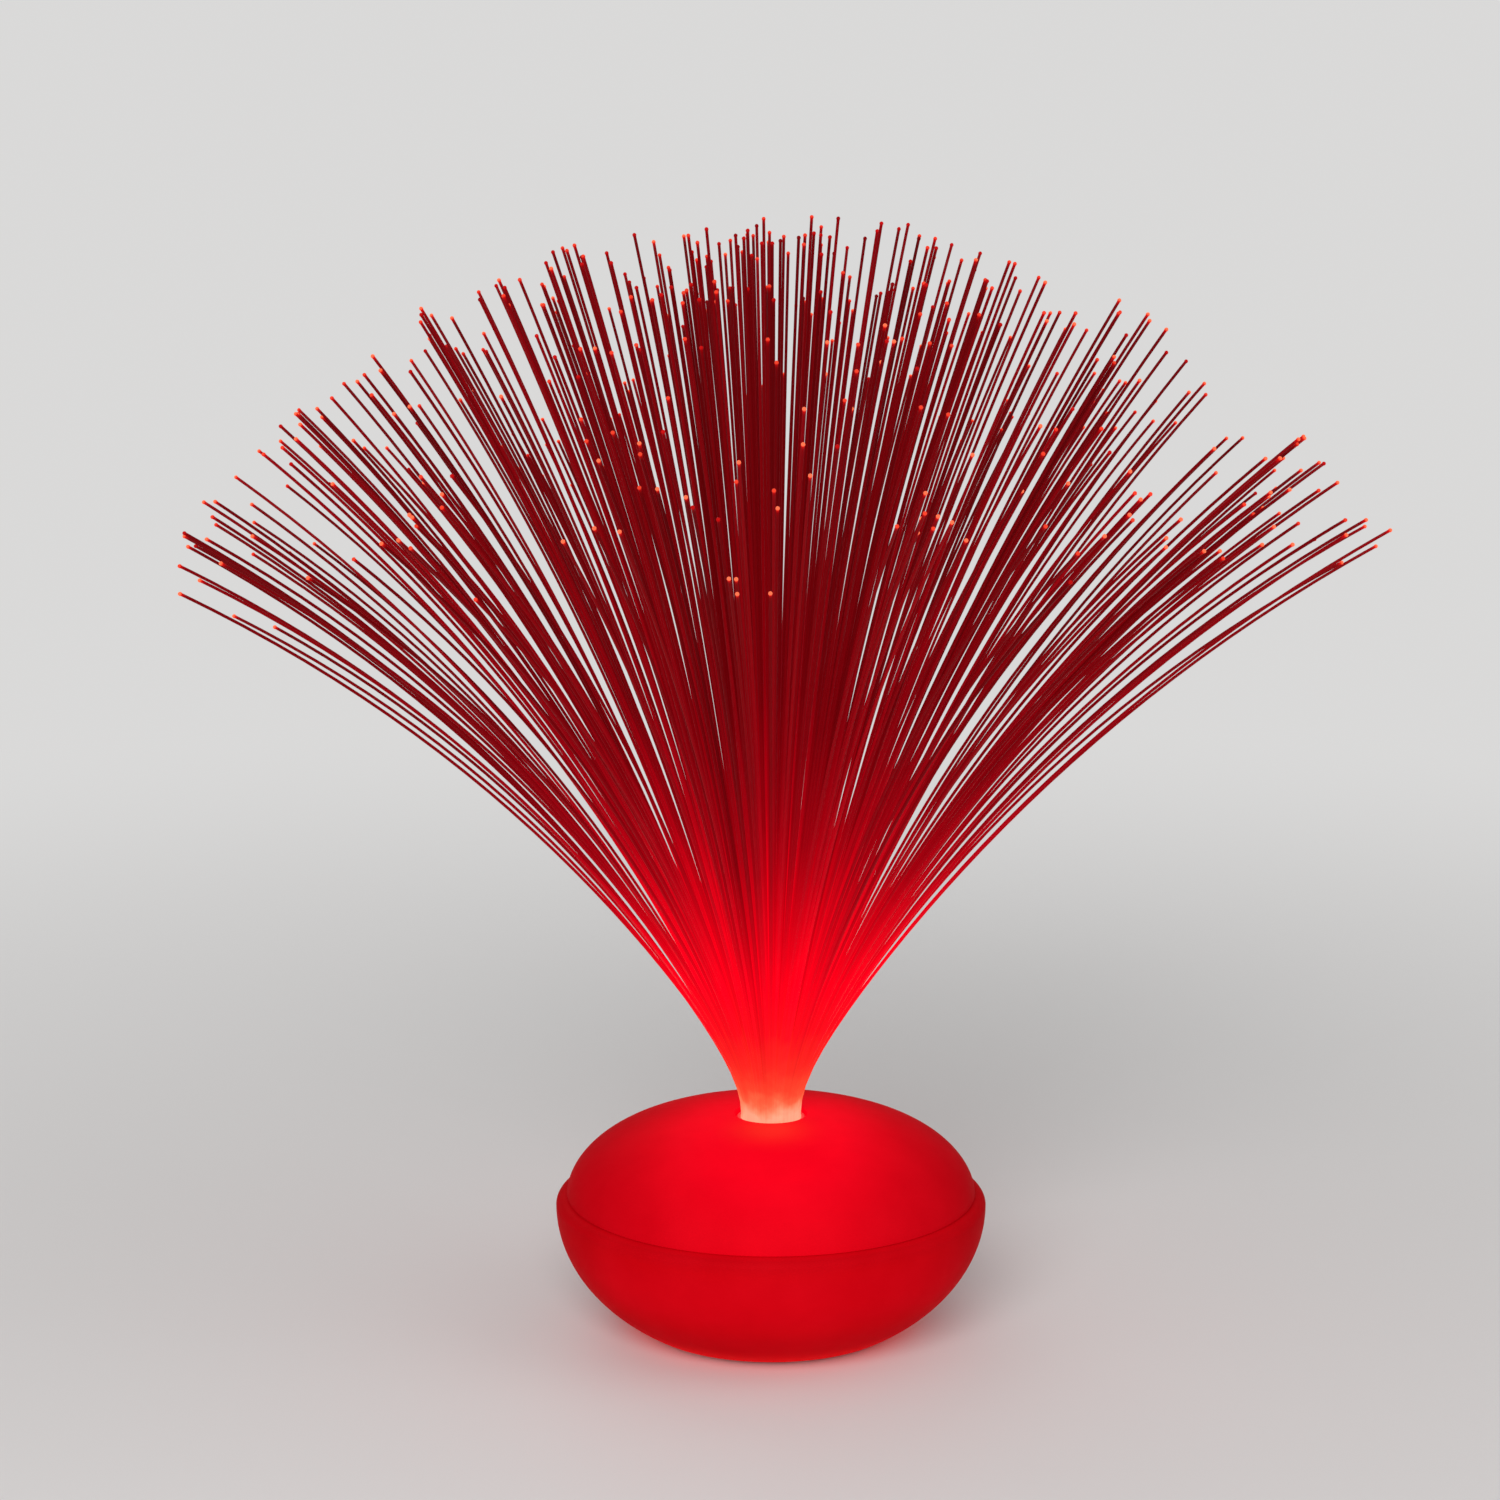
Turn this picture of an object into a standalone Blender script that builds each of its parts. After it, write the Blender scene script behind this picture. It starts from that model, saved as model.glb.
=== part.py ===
"""Fiber optic lamp: a frosted battery base with a plug-in spray of plastic optical fibers.

Metres, +Z up. The origin lies on the table under the middle of the lamp, and -Y is the front.
"""

import math
import random

import bmesh
import bpy
import numpy as np
from mathutils import Matrix, Vector

# Clearances and modelling values
FIT_GAP = 0.0003
CUT_OVERRUN = 0.0010
JOIN_OVERLAP = 0.0005
MERGE_DISTANCE = 0.00001
SHELL_STEPS = 44
SLEEVE_STEPS = 28
SMALL_STEPS = 12
SHARP_ANGLE = math.radians(40)

# Frosted shells
BASE_RADIUS = 0.0600
FOOT_RADIUS = 0.0360
FOOT_RISE = 0.0012
BOWL_DEPTH = 0.0344
SHOULDER_WIDTH = 0.0030
SHOULDER_HEIGHT = 0.0026
DOME_HEIGHT = 0.0228
DOME_CROWN_EXPONENT = 2.9
DOME_EDGE_EXPONENT = 1.8
SHELL_WALL = 0.0020
RIM_WALL = 0.0018
RIM_LIP = 0.0016
TONGUE_WALL = 0.0014
TONGUE_DEPTH = 0.0025
FOOT_WALL = 0.0020
LEDGE_WIDTH = 0.0016
LEDGE_THICKNESS = 0.0016
OUTER_POINTS = 9
INNER_POINTS = 8
SHOULDER_POINTS = 4

# Fiber spray
FIBER_RADIUS = 0.00035
FIBER_PITCH = 0.00084
FIBER_LENGTH = 0.2492
SHEAF_COUNT = 7
RING_COUNT = 9
SHEAF_SPREAD = 0.00038
BUNDLE_RADIUS = 0.00845
SHEAF_GAP = 0.0003
SHEAF_PROUD = 0.0012
STRAND_SUNK = 0.0010
LARGEST_LEAN = math.radians(68)
LEAN_EXPONENT = 1.18
DEPTH_LEAN_SHARE = 0.76
ROOT_BEND_SHARE = 0.455
STRAY_BEND_SHARE = 0.51
STRAY_SHARE = 0.35
ROOT_REACH_SHARE = 0.040
CLUMP_COUNT = 12
CLUMP_PULL_SHARE = 0.52
CLUMP_TRIM_SHARE = 0.6
TRIM_SHARE = 0.06
OUTER_TRIM_SHARE = 0.08
SHORT_SHARE = 0.09
SHORT_TRIM_SHARE = 0.12
LEAN_JITTER_SHARE = 0.30
TURN_JITTER_SHARE = 0.25
POINT_SHARES = (0.09, 0.38, 1.0)
OUTER_POINT_SHARES = (0.09, 0.38, 0.70, 1.0)
OUTER_RING = 7
CURVE_STEPS = 200
SPRAY_SEED = 30

# Ferrule and its socket under the dome
FERRULE_WALL = 0.0009
FERRULE_RECESS = 0.0008
FERRULE_CHAMFER = 0.0004
SOCKET_WALL = 0.0018
SOCKET_LIP_WIDTH = 0.0018
SOCKET_LIP_THICKNESS = 0.0015
SOCKET_CLEARANCE = 0.0017
FLANGE_RADIUS = 0.0160
FLANGE_THICKNESS = 0.0020
KEY_WIDTH = 0.0020
KEY_HEIGHT = 0.0020

# Base plate and battery tray
PLATE_RISE = 0.0019
PLATE_THICKNESS = 0.0020
DOOR_THICKNESS = 0.0016
DOOR_REBATE = 0.0005
CELL_RADIUS = 0.00525
CELL_LENGTH = 0.0445
CELL_SPACING = 0.0005
CELL_NUB_RADIUS = 0.0019
CELL_NUB_LENGTH = 0.0011
CELL_CHAMFER = 0.0005
TRAY_WALL = 0.0012
TRAY_ROOF = 0.0013
TRAY_RIB_WIDTH = 0.0012
TRAY_RIB_DEPTH = 0.0022
TRAY_RIB_LENGTH = 0.0300
BOSS_CIRCLE = 0.0302
BOSS_ANGLE = math.radians(21)
BOSS_RADIUS = 0.0030
BOSS_HEIGHT = 0.0090
BOSS_RIB_HEIGHT = 0.0042
BOSS_RIB_WIDTH = 0.0014
POST_SPACING = 0.0170
POST_RADIUS = 0.0020
POST_HEIGHT = 0.0128

# Cell contacts
CONTACT_THICKNESS = 0.0004
CONTACT_WIDTH = 0.0080
CONTACT_HEIGHT = 0.0070
CONTACT_TAB_WIDTH = 0.0020
CONTACT_TAB_RISE = 0.0025
SPRING_LENGTH = 0.0036
SPRING_RADIUS = 0.0028
SPRING_WIRE_RADIUS = 0.0003
SPRING_TURNS = 2.5
COIL_POINTS = 8

# Battery door
HOOK_WIDTH = 0.0016
HOOK_REACH = 0.0010
HOOK_DEPTH = 0.0010
HOOK_THICKNESS = 0.0008
HOOK_EDGE = 0.0005
HOOK_SWEEP = 0.0005
THUMB_WIDTH = 0.0080
THUMB_LENGTH = 0.0027
THUMB_THICKNESS = 0.0010
LATCH_SLIT_LENGTH = 0.0080
LATCH_SLIT_WIDTH = 0.0008
GRIP_COUNT = 3
GRIP_PITCH = 0.0024
GRIP_WIDTH = 0.0009
GRIP_DEPTH = 0.0004
GRIP_LENGTH = 0.0120

# Slide switch
SWITCH_PLACE = 0.0262
SWITCH_TRAVEL = 0.0030
SWITCH_BODY_LENGTH = 0.0110
SWITCH_BODY_WIDTH = 0.0055
SWITCH_BODY_HEIGHT = 0.0045
KNOB_LENGTH = 0.0036
KNOB_WIDTH = 0.0030
KNOB_CLEARANCE = 0.0007
KNOB_FLANGE_SIDE = 0.0008
KNOB_FLANGE_THICKNESS = 0.0008
TERMINAL_SPACING = 0.0050
TERMINAL_WIDTH = 0.0010
TERMINAL_THICKNESS = 0.0004
TERMINAL_HEIGHT = 0.0022
SWITCH_RIB_THICKNESS = 0.0010
SWITCH_RIB_HEIGHT = 0.0040

# Light source
BOARD_RADIUS = 0.0145
BOARD_THICKNESS = 0.0016
LED_WIDTH = 0.0050
LED_HEIGHT = 0.0015
LENS_RADIUS = 0.0022
CHIP_WIDTH = 0.0040
CHIP_LENGTH = 0.0050
CHIP_HEIGHT = 0.0015
CHIP_PLACE = -0.0075
RESISTOR_LENGTH = 0.0032
RESISTOR_WIDTH = 0.0016
RESISTOR_HEIGHT = 0.0006
RESISTOR_PLACE = 0.0070
RESISTOR_SPACING = 0.0044
CAPACITOR_RADIUS = 0.0022
CAPACITOR_HEIGHT = 0.0042
CAPACITOR_PLACE = 0.0075

# Screws and feet
BASE_SCREW_HEAD_RADIUS = 0.0023
BASE_SCREW_HEAD_HEIGHT = 0.0009
BASE_SCREW_RADIUS = 0.0011
BASE_SCREW_LENGTH = 0.0080
BOARD_SCREW_HEAD_RADIUS = 0.0018
BOARD_SCREW_HEAD_HEIGHT = 0.0011
BOARD_SCREW_RADIUS = 0.0009
BOARD_SCREW_LENGTH = 0.0060
RECESS_WIDTH_SHARE = 0.24
RECESS_LENGTH_SHARE = 1.20
RECESS_DEPTH_SHARE = 0.55
RUBBER_FOOT_RADIUS = 0.0032
RUBBER_FOOT_CHAMFER = 0.0004
RUBBER_FOOT_PLACE = 0.0214

# Wires, whose middle points are chosen by hand in metres
WIRE_RADIUS = 0.0006
WIRE_STRAIGHT = 0.0012
WIRE_SPAN_STEPS = 3
PAD_CIRCLE = 0.0115
NEGATIVE_PAD_ANGLE = math.radians(248)
SWITCHED_PAD_ANGLE = math.radians(12)
NEGATIVE_ROUTE = (
    (-0.0107, -0.0238, 0.0250),
    (-0.0095, -0.0205, 0.0310),
    (-0.0065, -0.0150, 0.0350),
)
POSITIVE_ROUTE = (
    (0.0140, 0.0245, 0.0235),
    (0.0230, 0.0180, 0.0245),
    (0.0310, 0.0070, 0.0215),
    (0.0300, -0.0010, 0.0180),
)
SWITCHED_ROUTE = (
    (0.0250, 0.0027, 0.0190),
    (0.0210, 0.0030, 0.0280),
    (0.0160, 0.0028, 0.0350),
)

# Heights and radii that follow from the sizes above
WIDEST_Z = FOOT_RISE + BOWL_DEPTH
RIM_Z = WIDEST_Z + SHOULDER_HEIGHT
RIM_RADIUS = BASE_RADIUS - SHOULDER_WIDTH
RIM_INNER_RADIUS = RIM_RADIUS - RIM_WALL
TONGUE_RADIUS = RIM_INNER_RADIUS - FIT_GAP
DOME_INNER_RADIUS = TONGUE_RADIUS - TONGUE_WALL
DOME_Z = RIM_Z + FIT_GAP
FOOT_ANGLE = math.acos(FOOT_RADIUS / BASE_RADIUS)
BOWL_HALF_HEIGHT = BOWL_DEPTH / math.sin(FOOT_ANGLE)
FERRULE_INNER_RADIUS = BUNDLE_RADIUS + FIT_GAP
FERRULE_RADIUS = FERRULE_INNER_RADIUS + FERRULE_WALL
HOLE_RADIUS = FERRULE_RADIUS + FIT_GAP
PLATE_TOP = PLATE_RISE + PLATE_THICKNESS
PLATE_RADIUS = FOOT_RADIUS - FOOT_WALL - FIT_GAP
LEDGE_Z = PLATE_TOP + FIT_GAP
CELL_PITCH = CELL_RADIUS * 2 + CELL_SPACING
CELL_Z = PLATE_RISE + DOOR_THICKNESS + FIT_GAP + CELL_RADIUS
BAY_HALF_WIDTH = CELL_PITCH + CELL_RADIUS + FIT_GAP
CONTACT_DEPTH = FIT_GAP + CONTACT_THICKNESS + FIT_GAP
BAY_HALF_LENGTH = (CONTACT_DEPTH * 2 + SPRING_LENGTH + FIT_GAP + CELL_LENGTH) / 2
BAY_ROOF_Z = CELL_Z + CELL_RADIUS + FIT_GAP
TRAY_TOP = BAY_ROOF_Z + TRAY_ROOF
TRAY_HALF_WIDTH = BAY_HALF_WIDTH + TRAY_WALL
TRAY_HALF_LENGTH = BAY_HALF_LENGTH + TRAY_WALL
OPENING_HALF_WIDTH = BAY_HALF_WIDTH + DOOR_REBATE
BOARD_Z = TRAY_TOP + POST_HEIGHT + FIT_GAP
BOARD_TOP = BOARD_Z + BOARD_THICKNESS
SWITCH_BODY_Z = PLATE_TOP + FIT_GAP + KNOB_FLANGE_THICKNESS + FIT_GAP
SWITCH_TOP = SWITCH_BODY_Z + SWITCH_BODY_HEIGHT
SHEAF_ANGLE = math.tau / SHEAF_COUNT


def dome_level(radius, height, base_radius):
    """Height of the dome's curve over its edge, at a distance from the axis."""
    share = radius / base_radius
    return height * (1 - share**DOME_CROWN_EXPONENT) ** (1 / DOME_EDGE_EXPONENT)


HOLE_Z = DOME_Z + dome_level(HOLE_RADIUS, DOME_HEIGHT, RIM_RADIUS)
FERRULE_TOP = HOLE_Z - FERRULE_RECESS
SOCKET_FOOT = BOARD_TOP + FIT_GAP + CAPACITOR_HEIGHT + SOCKET_CLEARANCE
SOCKET_LIP_TOP = SOCKET_FOOT + SOCKET_LIP_THICKNESS
FERRULE_FOOT = SOCKET_LIP_TOP + FIT_GAP
SHEAF_TOP = FERRULE_TOP + SHEAF_PROUD
DOME_OVER_FLANGE = dome_level(FLANGE_RADIUS, DOME_HEIGHT - SHELL_WALL, DOME_INNER_RADIUS)
FLANGE_TOP = DOME_Z + DOME_OVER_FLANGE - FIT_GAP * 2

MATERIALS = {
    "frosted_shell": ((0.86, 0.06, 0.07), 0.45, 0.0),
    "optical_fiber": ((0.90, 0.10, 0.08), 0.20, 0.0),
    "sleeve_plastic": ((0.90, 0.90, 0.88), 0.40, 0.0),
    "base_plastic": ((0.85, 0.85, 0.83), 0.45, 0.0),
    "black_plastic": ((0.03, 0.03, 0.03), 0.40, 0.0),
    "cell_jacket": ((0.10, 0.12, 0.16), 0.30, 0.3),
    "nickel": ((0.70, 0.68, 0.64), 0.25, 1.0),
    "steel": ((0.55, 0.55, 0.56), 0.30, 1.0),
    "board": ((0.04, 0.22, 0.10), 0.35, 0.0),
    "led_package": ((0.92, 0.92, 0.90), 0.50, 0.0),
    "led_lens": ((0.95, 0.35, 0.30), 0.05, 0.0),
    "red_wire": ((0.60, 0.03, 0.03), 0.35, 0.0),
    "black_wire": ((0.02, 0.02, 0.02), 0.35, 0.0),
    "rubber": ((0.06, 0.06, 0.06), 0.85, 0.0),
}


def clear_scene():
    for obj in list(bpy.data.objects):
        bpy.data.objects.remove(obj, do_unlink=True)


def new_collection(name):
    collection = bpy.data.collections.new(name)
    bpy.context.scene.collection.children.link(collection)
    return collection


def new_material(name):
    color, roughness, metallic = MATERIALS[name]
    material = bpy.data.materials.new(name)
    material.use_nodes = True
    shader = material.node_tree.nodes["Principled BSDF"]
    shader.inputs["Base Color"].default_value = (*color, 1)
    shader.inputs["Roughness"].default_value = roughness
    shader.inputs["Metallic"].default_value = metallic
    return material


clear_scene()
PARTS = new_collection("fiber_optic_lamp")
CUTTERS = new_collection("cutters")
FINISH = {name: new_material(name) for name in MATERIALS}


def add_part(name, data, finish):
    """Links a piece of the lamp and gives it its material."""
    data.materials.clear()
    data.materials.append(FINISH[finish])
    obj = bpy.data.objects.new(name, data)
    PARTS.objects.link(obj)
    return obj


def box(low, high):
    """Adds a box between two corners to a mesh."""

    def add(bm):
        low_corner, high_corner = Vector(low), Vector(high)
        scale = Matrix.Diagonal((*(high_corner - low_corner), 1))
        place = Matrix.Translation((low_corner + high_corner) / 2)
        bmesh.ops.create_cube(bm, size=1, matrix=place @ scale)

    return add


def rod(x, y, radius, low, high):
    """Adds an upright cylinder to a mesh."""

    def add(bm):
        place = Matrix.Translation((x, y, (low + high) / 2))
        bmesh.ops.create_cone(
            bm, cap_ends=True, segments=SMALL_STEPS, radius1=radius, radius2=radius,
            depth=high - low, matrix=place,
        )

    return add


def mesh_of(name, shapes):
    bm = bmesh.new()
    for shape in shapes:
        shape(bm)
    mesh = bpy.data.meshes.new(name)
    bm.to_mesh(mesh)
    bm.free()
    mesh.shade_smooth()
    mesh.set_sharp_from_angle(angle=SHARP_ANGLE)
    return mesh


def solid(name, shape, finish):
    return add_part(name, mesh_of(name, [shape]), finish)


def combine(obj, operation, name, shapes):
    """Joins or cuts a piece with hidden shapes that don't touch each other."""
    tool = bpy.data.objects.new(f"{obj.name}_{name}", mesh_of(name, shapes))
    tool.hide_render = True
    tool.display_type = "WIRE"
    CUTTERS.objects.link(tool)
    modifier = obj.modifiers.new(name, "BOOLEAN")
    modifier.operation = operation
    modifier.object = tool
    return tool


def turned(name, profile, finish, steps, on_axis=False):
    """Turns a profile of (radius, height) points, whose outer side runs from top to bottom."""
    mesh = bpy.data.meshes.new(name)
    edges = [(index, index + 1) for index in range(len(profile) - 1)]
    if not on_axis:
        edges.append((len(profile) - 1, 0))
    mesh.from_pydata([(radius, 0, height) for radius, height in profile], edges, [])
    obj = add_part(name, mesh, finish)
    screw = obj.modifiers.new("turn", "SCREW")
    screw.steps = steps
    screw.render_steps = steps
    screw.use_merge_vertices = on_axis
    screw.merge_threshold = MERGE_DISTANCE
    return obj


def baked_mesh(obj, name):
    """Evaluated mesh of an object, whose modifiers and cutters go with it."""
    bpy.context.view_layer.update()
    depsgraph = bpy.context.evaluated_depsgraph_get()
    mesh = bpy.data.meshes.new_from_object(obj.evaluated_get(depsgraph))
    mesh.name = name
    for modifier in obj.modifiers:
        if modifier.type == "BOOLEAN":
            bpy.data.objects.remove(modifier.object)
    bpy.data.objects.remove(obj)
    return mesh


def arc(centre, width, height, start, stop, count, exponents=(2.0, 2.0)):
    """Points of an ellipse between two angles. Larger exponents make its crown flatter, its side fuller."""
    points = []
    for step in range(count):
        angle = start + (stop - start) * step / (count - 1)
        across = abs(math.cos(angle)) ** (2 / exponents[0])
        up = math.copysign(abs(math.sin(angle)) ** (2 / exponents[1]), math.sin(angle))
        points.append((centre[0] + width * across, centre[1] + height * up))
    return points


def dome_arc(radius, height, count):
    """Dome curve from the hole's edge down to the rim."""
    hole_angle = math.acos((HOLE_RADIUS / radius) ** (DOME_CROWN_EXPONENT / 2))
    exponents = (DOME_CROWN_EXPONENT, DOME_EDGE_EXPONENT)
    return arc((0, DOME_Z), radius, height, hole_angle, 0, count, exponents)


def upper_shell():
    """Dome with the fiber hole at its top and a tongue that centres it in the bowl's rim."""
    outside = dome_arc(RIM_RADIUS, DOME_HEIGHT, OUTER_POINTS)
    inside = dome_arc(DOME_INNER_RADIUS, DOME_HEIGHT - SHELL_WALL, INNER_POINTS)
    tongue_z = DOME_Z - TONGUE_DEPTH
    tongue = [(TONGUE_RADIUS, DOME_Z), (TONGUE_RADIUS, tongue_z), (DOME_INNER_RADIUS, tongue_z)]
    turned("upper_shell", outside + tongue + inside[::-1], "frosted_shell", SHELL_STEPS)


def bowl_radius(level):
    """Outer radius of the bowl at a height under its widest ring."""
    return BASE_RADIUS * math.sqrt(1 - ((WIDEST_Z - level) / BOWL_HALF_HEIGHT) ** 2)


def boss_places():
    places = []
    for side in (-1, 1):
        for end in (-1, 1):
            x = side * BOSS_CIRCLE * math.cos(BOSS_ANGLE)
            y = end * BOSS_CIRCLE * math.sin(BOSS_ANGLE)
            places.append((x, y))
    return places


def boss_rib(x, y):
    """Adds the upright rib between a screw boss and the bowl's wall to a mesh."""

    def add(bm):
        reach = bowl_radius(LEDGE_Z) - SHELL_WALL / 2
        low = Vector((BOSS_CIRCLE, -BOSS_RIB_WIDTH / 2, LEDGE_Z))
        high = Vector((reach, BOSS_RIB_WIDTH / 2, LEDGE_Z + BOSS_RIB_HEIGHT))
        first = len(bm.verts)
        box(low, high)(bm)
        bm.verts.ensure_lookup_table()
        turn = Matrix.Rotation(math.atan2(y, x), 3, "Z")
        bmesh.ops.rotate(bm, cent=(0, 0, 0), matrix=turn, verts=bm.verts[first:])

    return add


def lower_shell():
    """Bowl with the rounded rim, the foot, the ledge over the base plate and the screw bosses."""
    ledge_top = LEDGE_Z + LEDGE_THICKNESS
    ledge_radius = FOOT_RADIUS - FOOT_WALL
    inner_half_height = BOWL_HALF_HEIGHT - SHELL_WALL
    inner_angle = -math.asin((WIDEST_Z - ledge_top) / inner_half_height)
    inner_radius = BASE_RADIUS - SHELL_WALL
    shoulder = arc(
        (RIM_RADIUS, WIDEST_Z), SHOULDER_WIDTH, SHOULDER_HEIGHT, math.pi / 2, 0, SHOULDER_POINTS
    )
    outside = arc((0, WIDEST_Z), BASE_RADIUS, BOWL_HALF_HEIGHT, 0, -FOOT_ANGLE, OUTER_POINTS)
    ledge = [
        (ledge_radius, FOOT_RISE),
        (ledge_radius, LEDGE_Z),
        (ledge_radius - LEDGE_WIDTH, LEDGE_Z),
        (ledge_radius - LEDGE_WIDTH, ledge_top),
    ]
    inside = arc((0, WIDEST_Z), inner_radius, inner_half_height, inner_angle, 0, INNER_POINTS)
    rim = [(RIM_INNER_RADIUS, RIM_Z - RIM_LIP), (RIM_INNER_RADIUS, RIM_Z)]
    profile = shoulder + outside[1:] + ledge + inside + rim
    obj = turned("lower_shell", profile, "frosted_shell", SHELL_STEPS)
    boss_top = LEDGE_Z + BOSS_HEIGHT
    pilot_radius = BASE_SCREW_RADIUS + FIT_GAP
    pilot_low = LEDGE_Z - CUT_OVERRUN
    pilot_top = boss_top - BOSS_HEIGHT / 4
    bosses = [rod(x, y, BOSS_RADIUS, LEDGE_Z, boss_top) for x, y in boss_places()]
    pilots = [rod(x, y, pilot_radius, pilot_low, pilot_top) for x, y in boss_places()]
    combine(obj, "UNION", "ribs", [boss_rib(x, y) for x, y in boss_places()])
    combine(obj, "UNION", "bosses", bosses)
    combine(obj, "DIFFERENCE", "pilots", pilots)


def post_places():
    half = POST_SPACING / 2
    return [(-half, -half), (half, half), (-half, half), (half, -half)]


def hook_places():
    """Middle of each door hook along X, one beside each outer cell."""
    place = BAY_HALF_WIDTH - HOOK_EDGE - HOOK_WIDTH / 2
    return [-place, place]


def base_plate():
    """Bottom plate with the battery tray, the switch's ribs and the board's posts."""
    obj = turned_disc("base_plate", PLATE_RADIUS, PLATE_RISE, PLATE_TOP, "base_plastic", SHELL_STEPS)
    tray = box(
        (-TRAY_HALF_WIDTH, -TRAY_HALF_LENGTH, PLATE_TOP - JOIN_OVERLAP),
        (TRAY_HALF_WIDTH, TRAY_HALF_LENGTH, TRAY_TOP),
    )
    combine(obj, "UNION", "tray", [tray])
    combine(obj, "DIFFERENCE", "bay", [tray_bay()])
    combine(obj, "DIFFERENCE", "opening", [door_opening()])
    combine(obj, "DIFFERENCE", "cuts", plate_cuts())
    combine(obj, "DIFFERENCE", "counterbores", plate_counterbores())
    combine(obj, "UNION", "ribs", tray_ribs() + switch_ribs() + board_posts())
    combine(obj, "DIFFERENCE", "pilots", board_pilots())


def turned_disc(name, radius, low, high, finish, steps):
    profile = [(0, high), (radius, high), (radius, low), (0, low)]
    return turned(name, profile, finish, steps, on_axis=True)


def tray_bay():
    """Room of the cells and their contacts, open to the underside."""
    return box(
        (-BAY_HALF_WIDTH, -BAY_HALF_LENGTH, PLATE_RISE - CUT_OVERRUN),
        (BAY_HALF_WIDTH, BAY_HALF_LENGTH, BAY_ROOF_Z),
    )


def door_opening():
    """Rebate that the door lies in, a little wider than the bay."""
    return box(
        (-OPENING_HALF_WIDTH, -BAY_HALF_LENGTH, PLATE_RISE - CUT_OVERRUN * 2),
        (OPENING_HALF_WIDTH, BAY_HALF_LENGTH, PLATE_TOP),
    )


def plate_cuts():
    """Screw holes, switch slot, thumb notch, hook slots and the slots of the solder tabs."""
    low = PLATE_RISE - CUT_OVERRUN
    high = PLATE_TOP + CUT_OVERRUN
    cuts = [rod(x, y, BASE_SCREW_RADIUS + FIT_GAP, low, high) for x, y in boss_places()]
    slot_width = KNOB_WIDTH / 2 + FIT_GAP
    slot_length = (KNOB_LENGTH + SWITCH_TRAVEL) / 2 + FIT_GAP
    cuts.append(
        box(
            (SWITCH_PLACE - slot_width, -slot_length, low),
            (SWITCH_PLACE + slot_width, slot_length, high),
        )
    )
    notch_width = THUMB_WIDTH / 2 + FIT_GAP
    notch_end = BAY_HALF_LENGTH - FIT_GAP + THUMB_LENGTH + FIT_GAP
    notch_start = BAY_HALF_LENGTH - CUT_OVERRUN
    notch_top = PLATE_RISE + THUMB_THICKNESS + FIT_GAP
    cuts.append(box((-notch_width, notch_start, low), (notch_width, notch_end, notch_top)))
    slot_start = -TRAY_HALF_LENGTH - CUT_OVERRUN
    slot_stop = -BAY_HALF_LENGTH + CUT_OVERRUN
    slot_top = PLATE_RISE + DOOR_THICKNESS + HOOK_DEPTH + HOOK_SWEEP
    for middle in hook_places():
        half = HOOK_WIDTH / 2 + FIT_GAP
        cuts.append(box((middle - half, slot_start, PLATE_TOP), (middle + half, slot_stop, slot_top)))
    for x, y in tab_places():
        half = CONTACT_TAB_WIDTH / 2 + FIT_GAP
        depth = CONTACT_THICKNESS / 2 + FIT_GAP
        floor, top = BAY_ROOF_Z - CUT_OVERRUN, TRAY_TOP + CUT_OVERRUN
        cuts.append(box((x - half, y - depth, floor), (x + half, y + depth, top)))
    return cuts


def plate_counterbores():
    radius = BASE_SCREW_HEAD_RADIUS + FIT_GAP
    depth = BASE_SCREW_HEAD_HEIGHT + FIT_GAP
    low = PLATE_RISE - CUT_OVERRUN
    return [rod(x, y, radius, low, PLATE_RISE + depth) for x, y in boss_places()]


def tray_ribs():
    """Ribs under the tray's roof, between the cells."""
    ribs = []
    for side in (-1, 1):
        middle = side * CELL_PITCH / 2
        low = (middle - TRAY_RIB_WIDTH / 2, -TRAY_RIB_LENGTH / 2, BAY_ROOF_Z - TRAY_RIB_DEPTH)
        high = (middle + TRAY_RIB_WIDTH / 2, TRAY_RIB_LENGTH / 2, BAY_ROOF_Z + JOIN_OVERLAP)
        ribs.append(box(low, high))
    return ribs


def switch_ribs():
    """Ribs that hold the switch's body at its two ends."""
    ribs = []
    for end in (-1, 1):
        near = end * (SWITCH_BODY_LENGTH / 2 + FIT_GAP)
        far = near + end * SWITCH_RIB_THICKNESS
        half = SWITCH_BODY_WIDTH / 2
        low = (SWITCH_PLACE - half, min(near, far), PLATE_TOP - JOIN_OVERLAP)
        high = (SWITCH_PLACE + half, max(near, far), PLATE_TOP + SWITCH_RIB_HEIGHT)
        ribs.append(box(low, high))
    return ribs


def board_posts():
    low, high = TRAY_TOP - JOIN_OVERLAP, TRAY_TOP + POST_HEIGHT
    return [rod(x, y, POST_RADIUS, low, high) for x, y in post_places()]


def board_pilots():
    radius = BOARD_SCREW_RADIUS + FIT_GAP
    low = TRAY_TOP + POST_HEIGHT - BOARD_SCREW_LENGTH
    high = TRAY_TOP + POST_HEIGHT + CUT_OVERRUN
    return [rod(x, y, radius, low, high) for x, y in post_places()[:2]]


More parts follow.
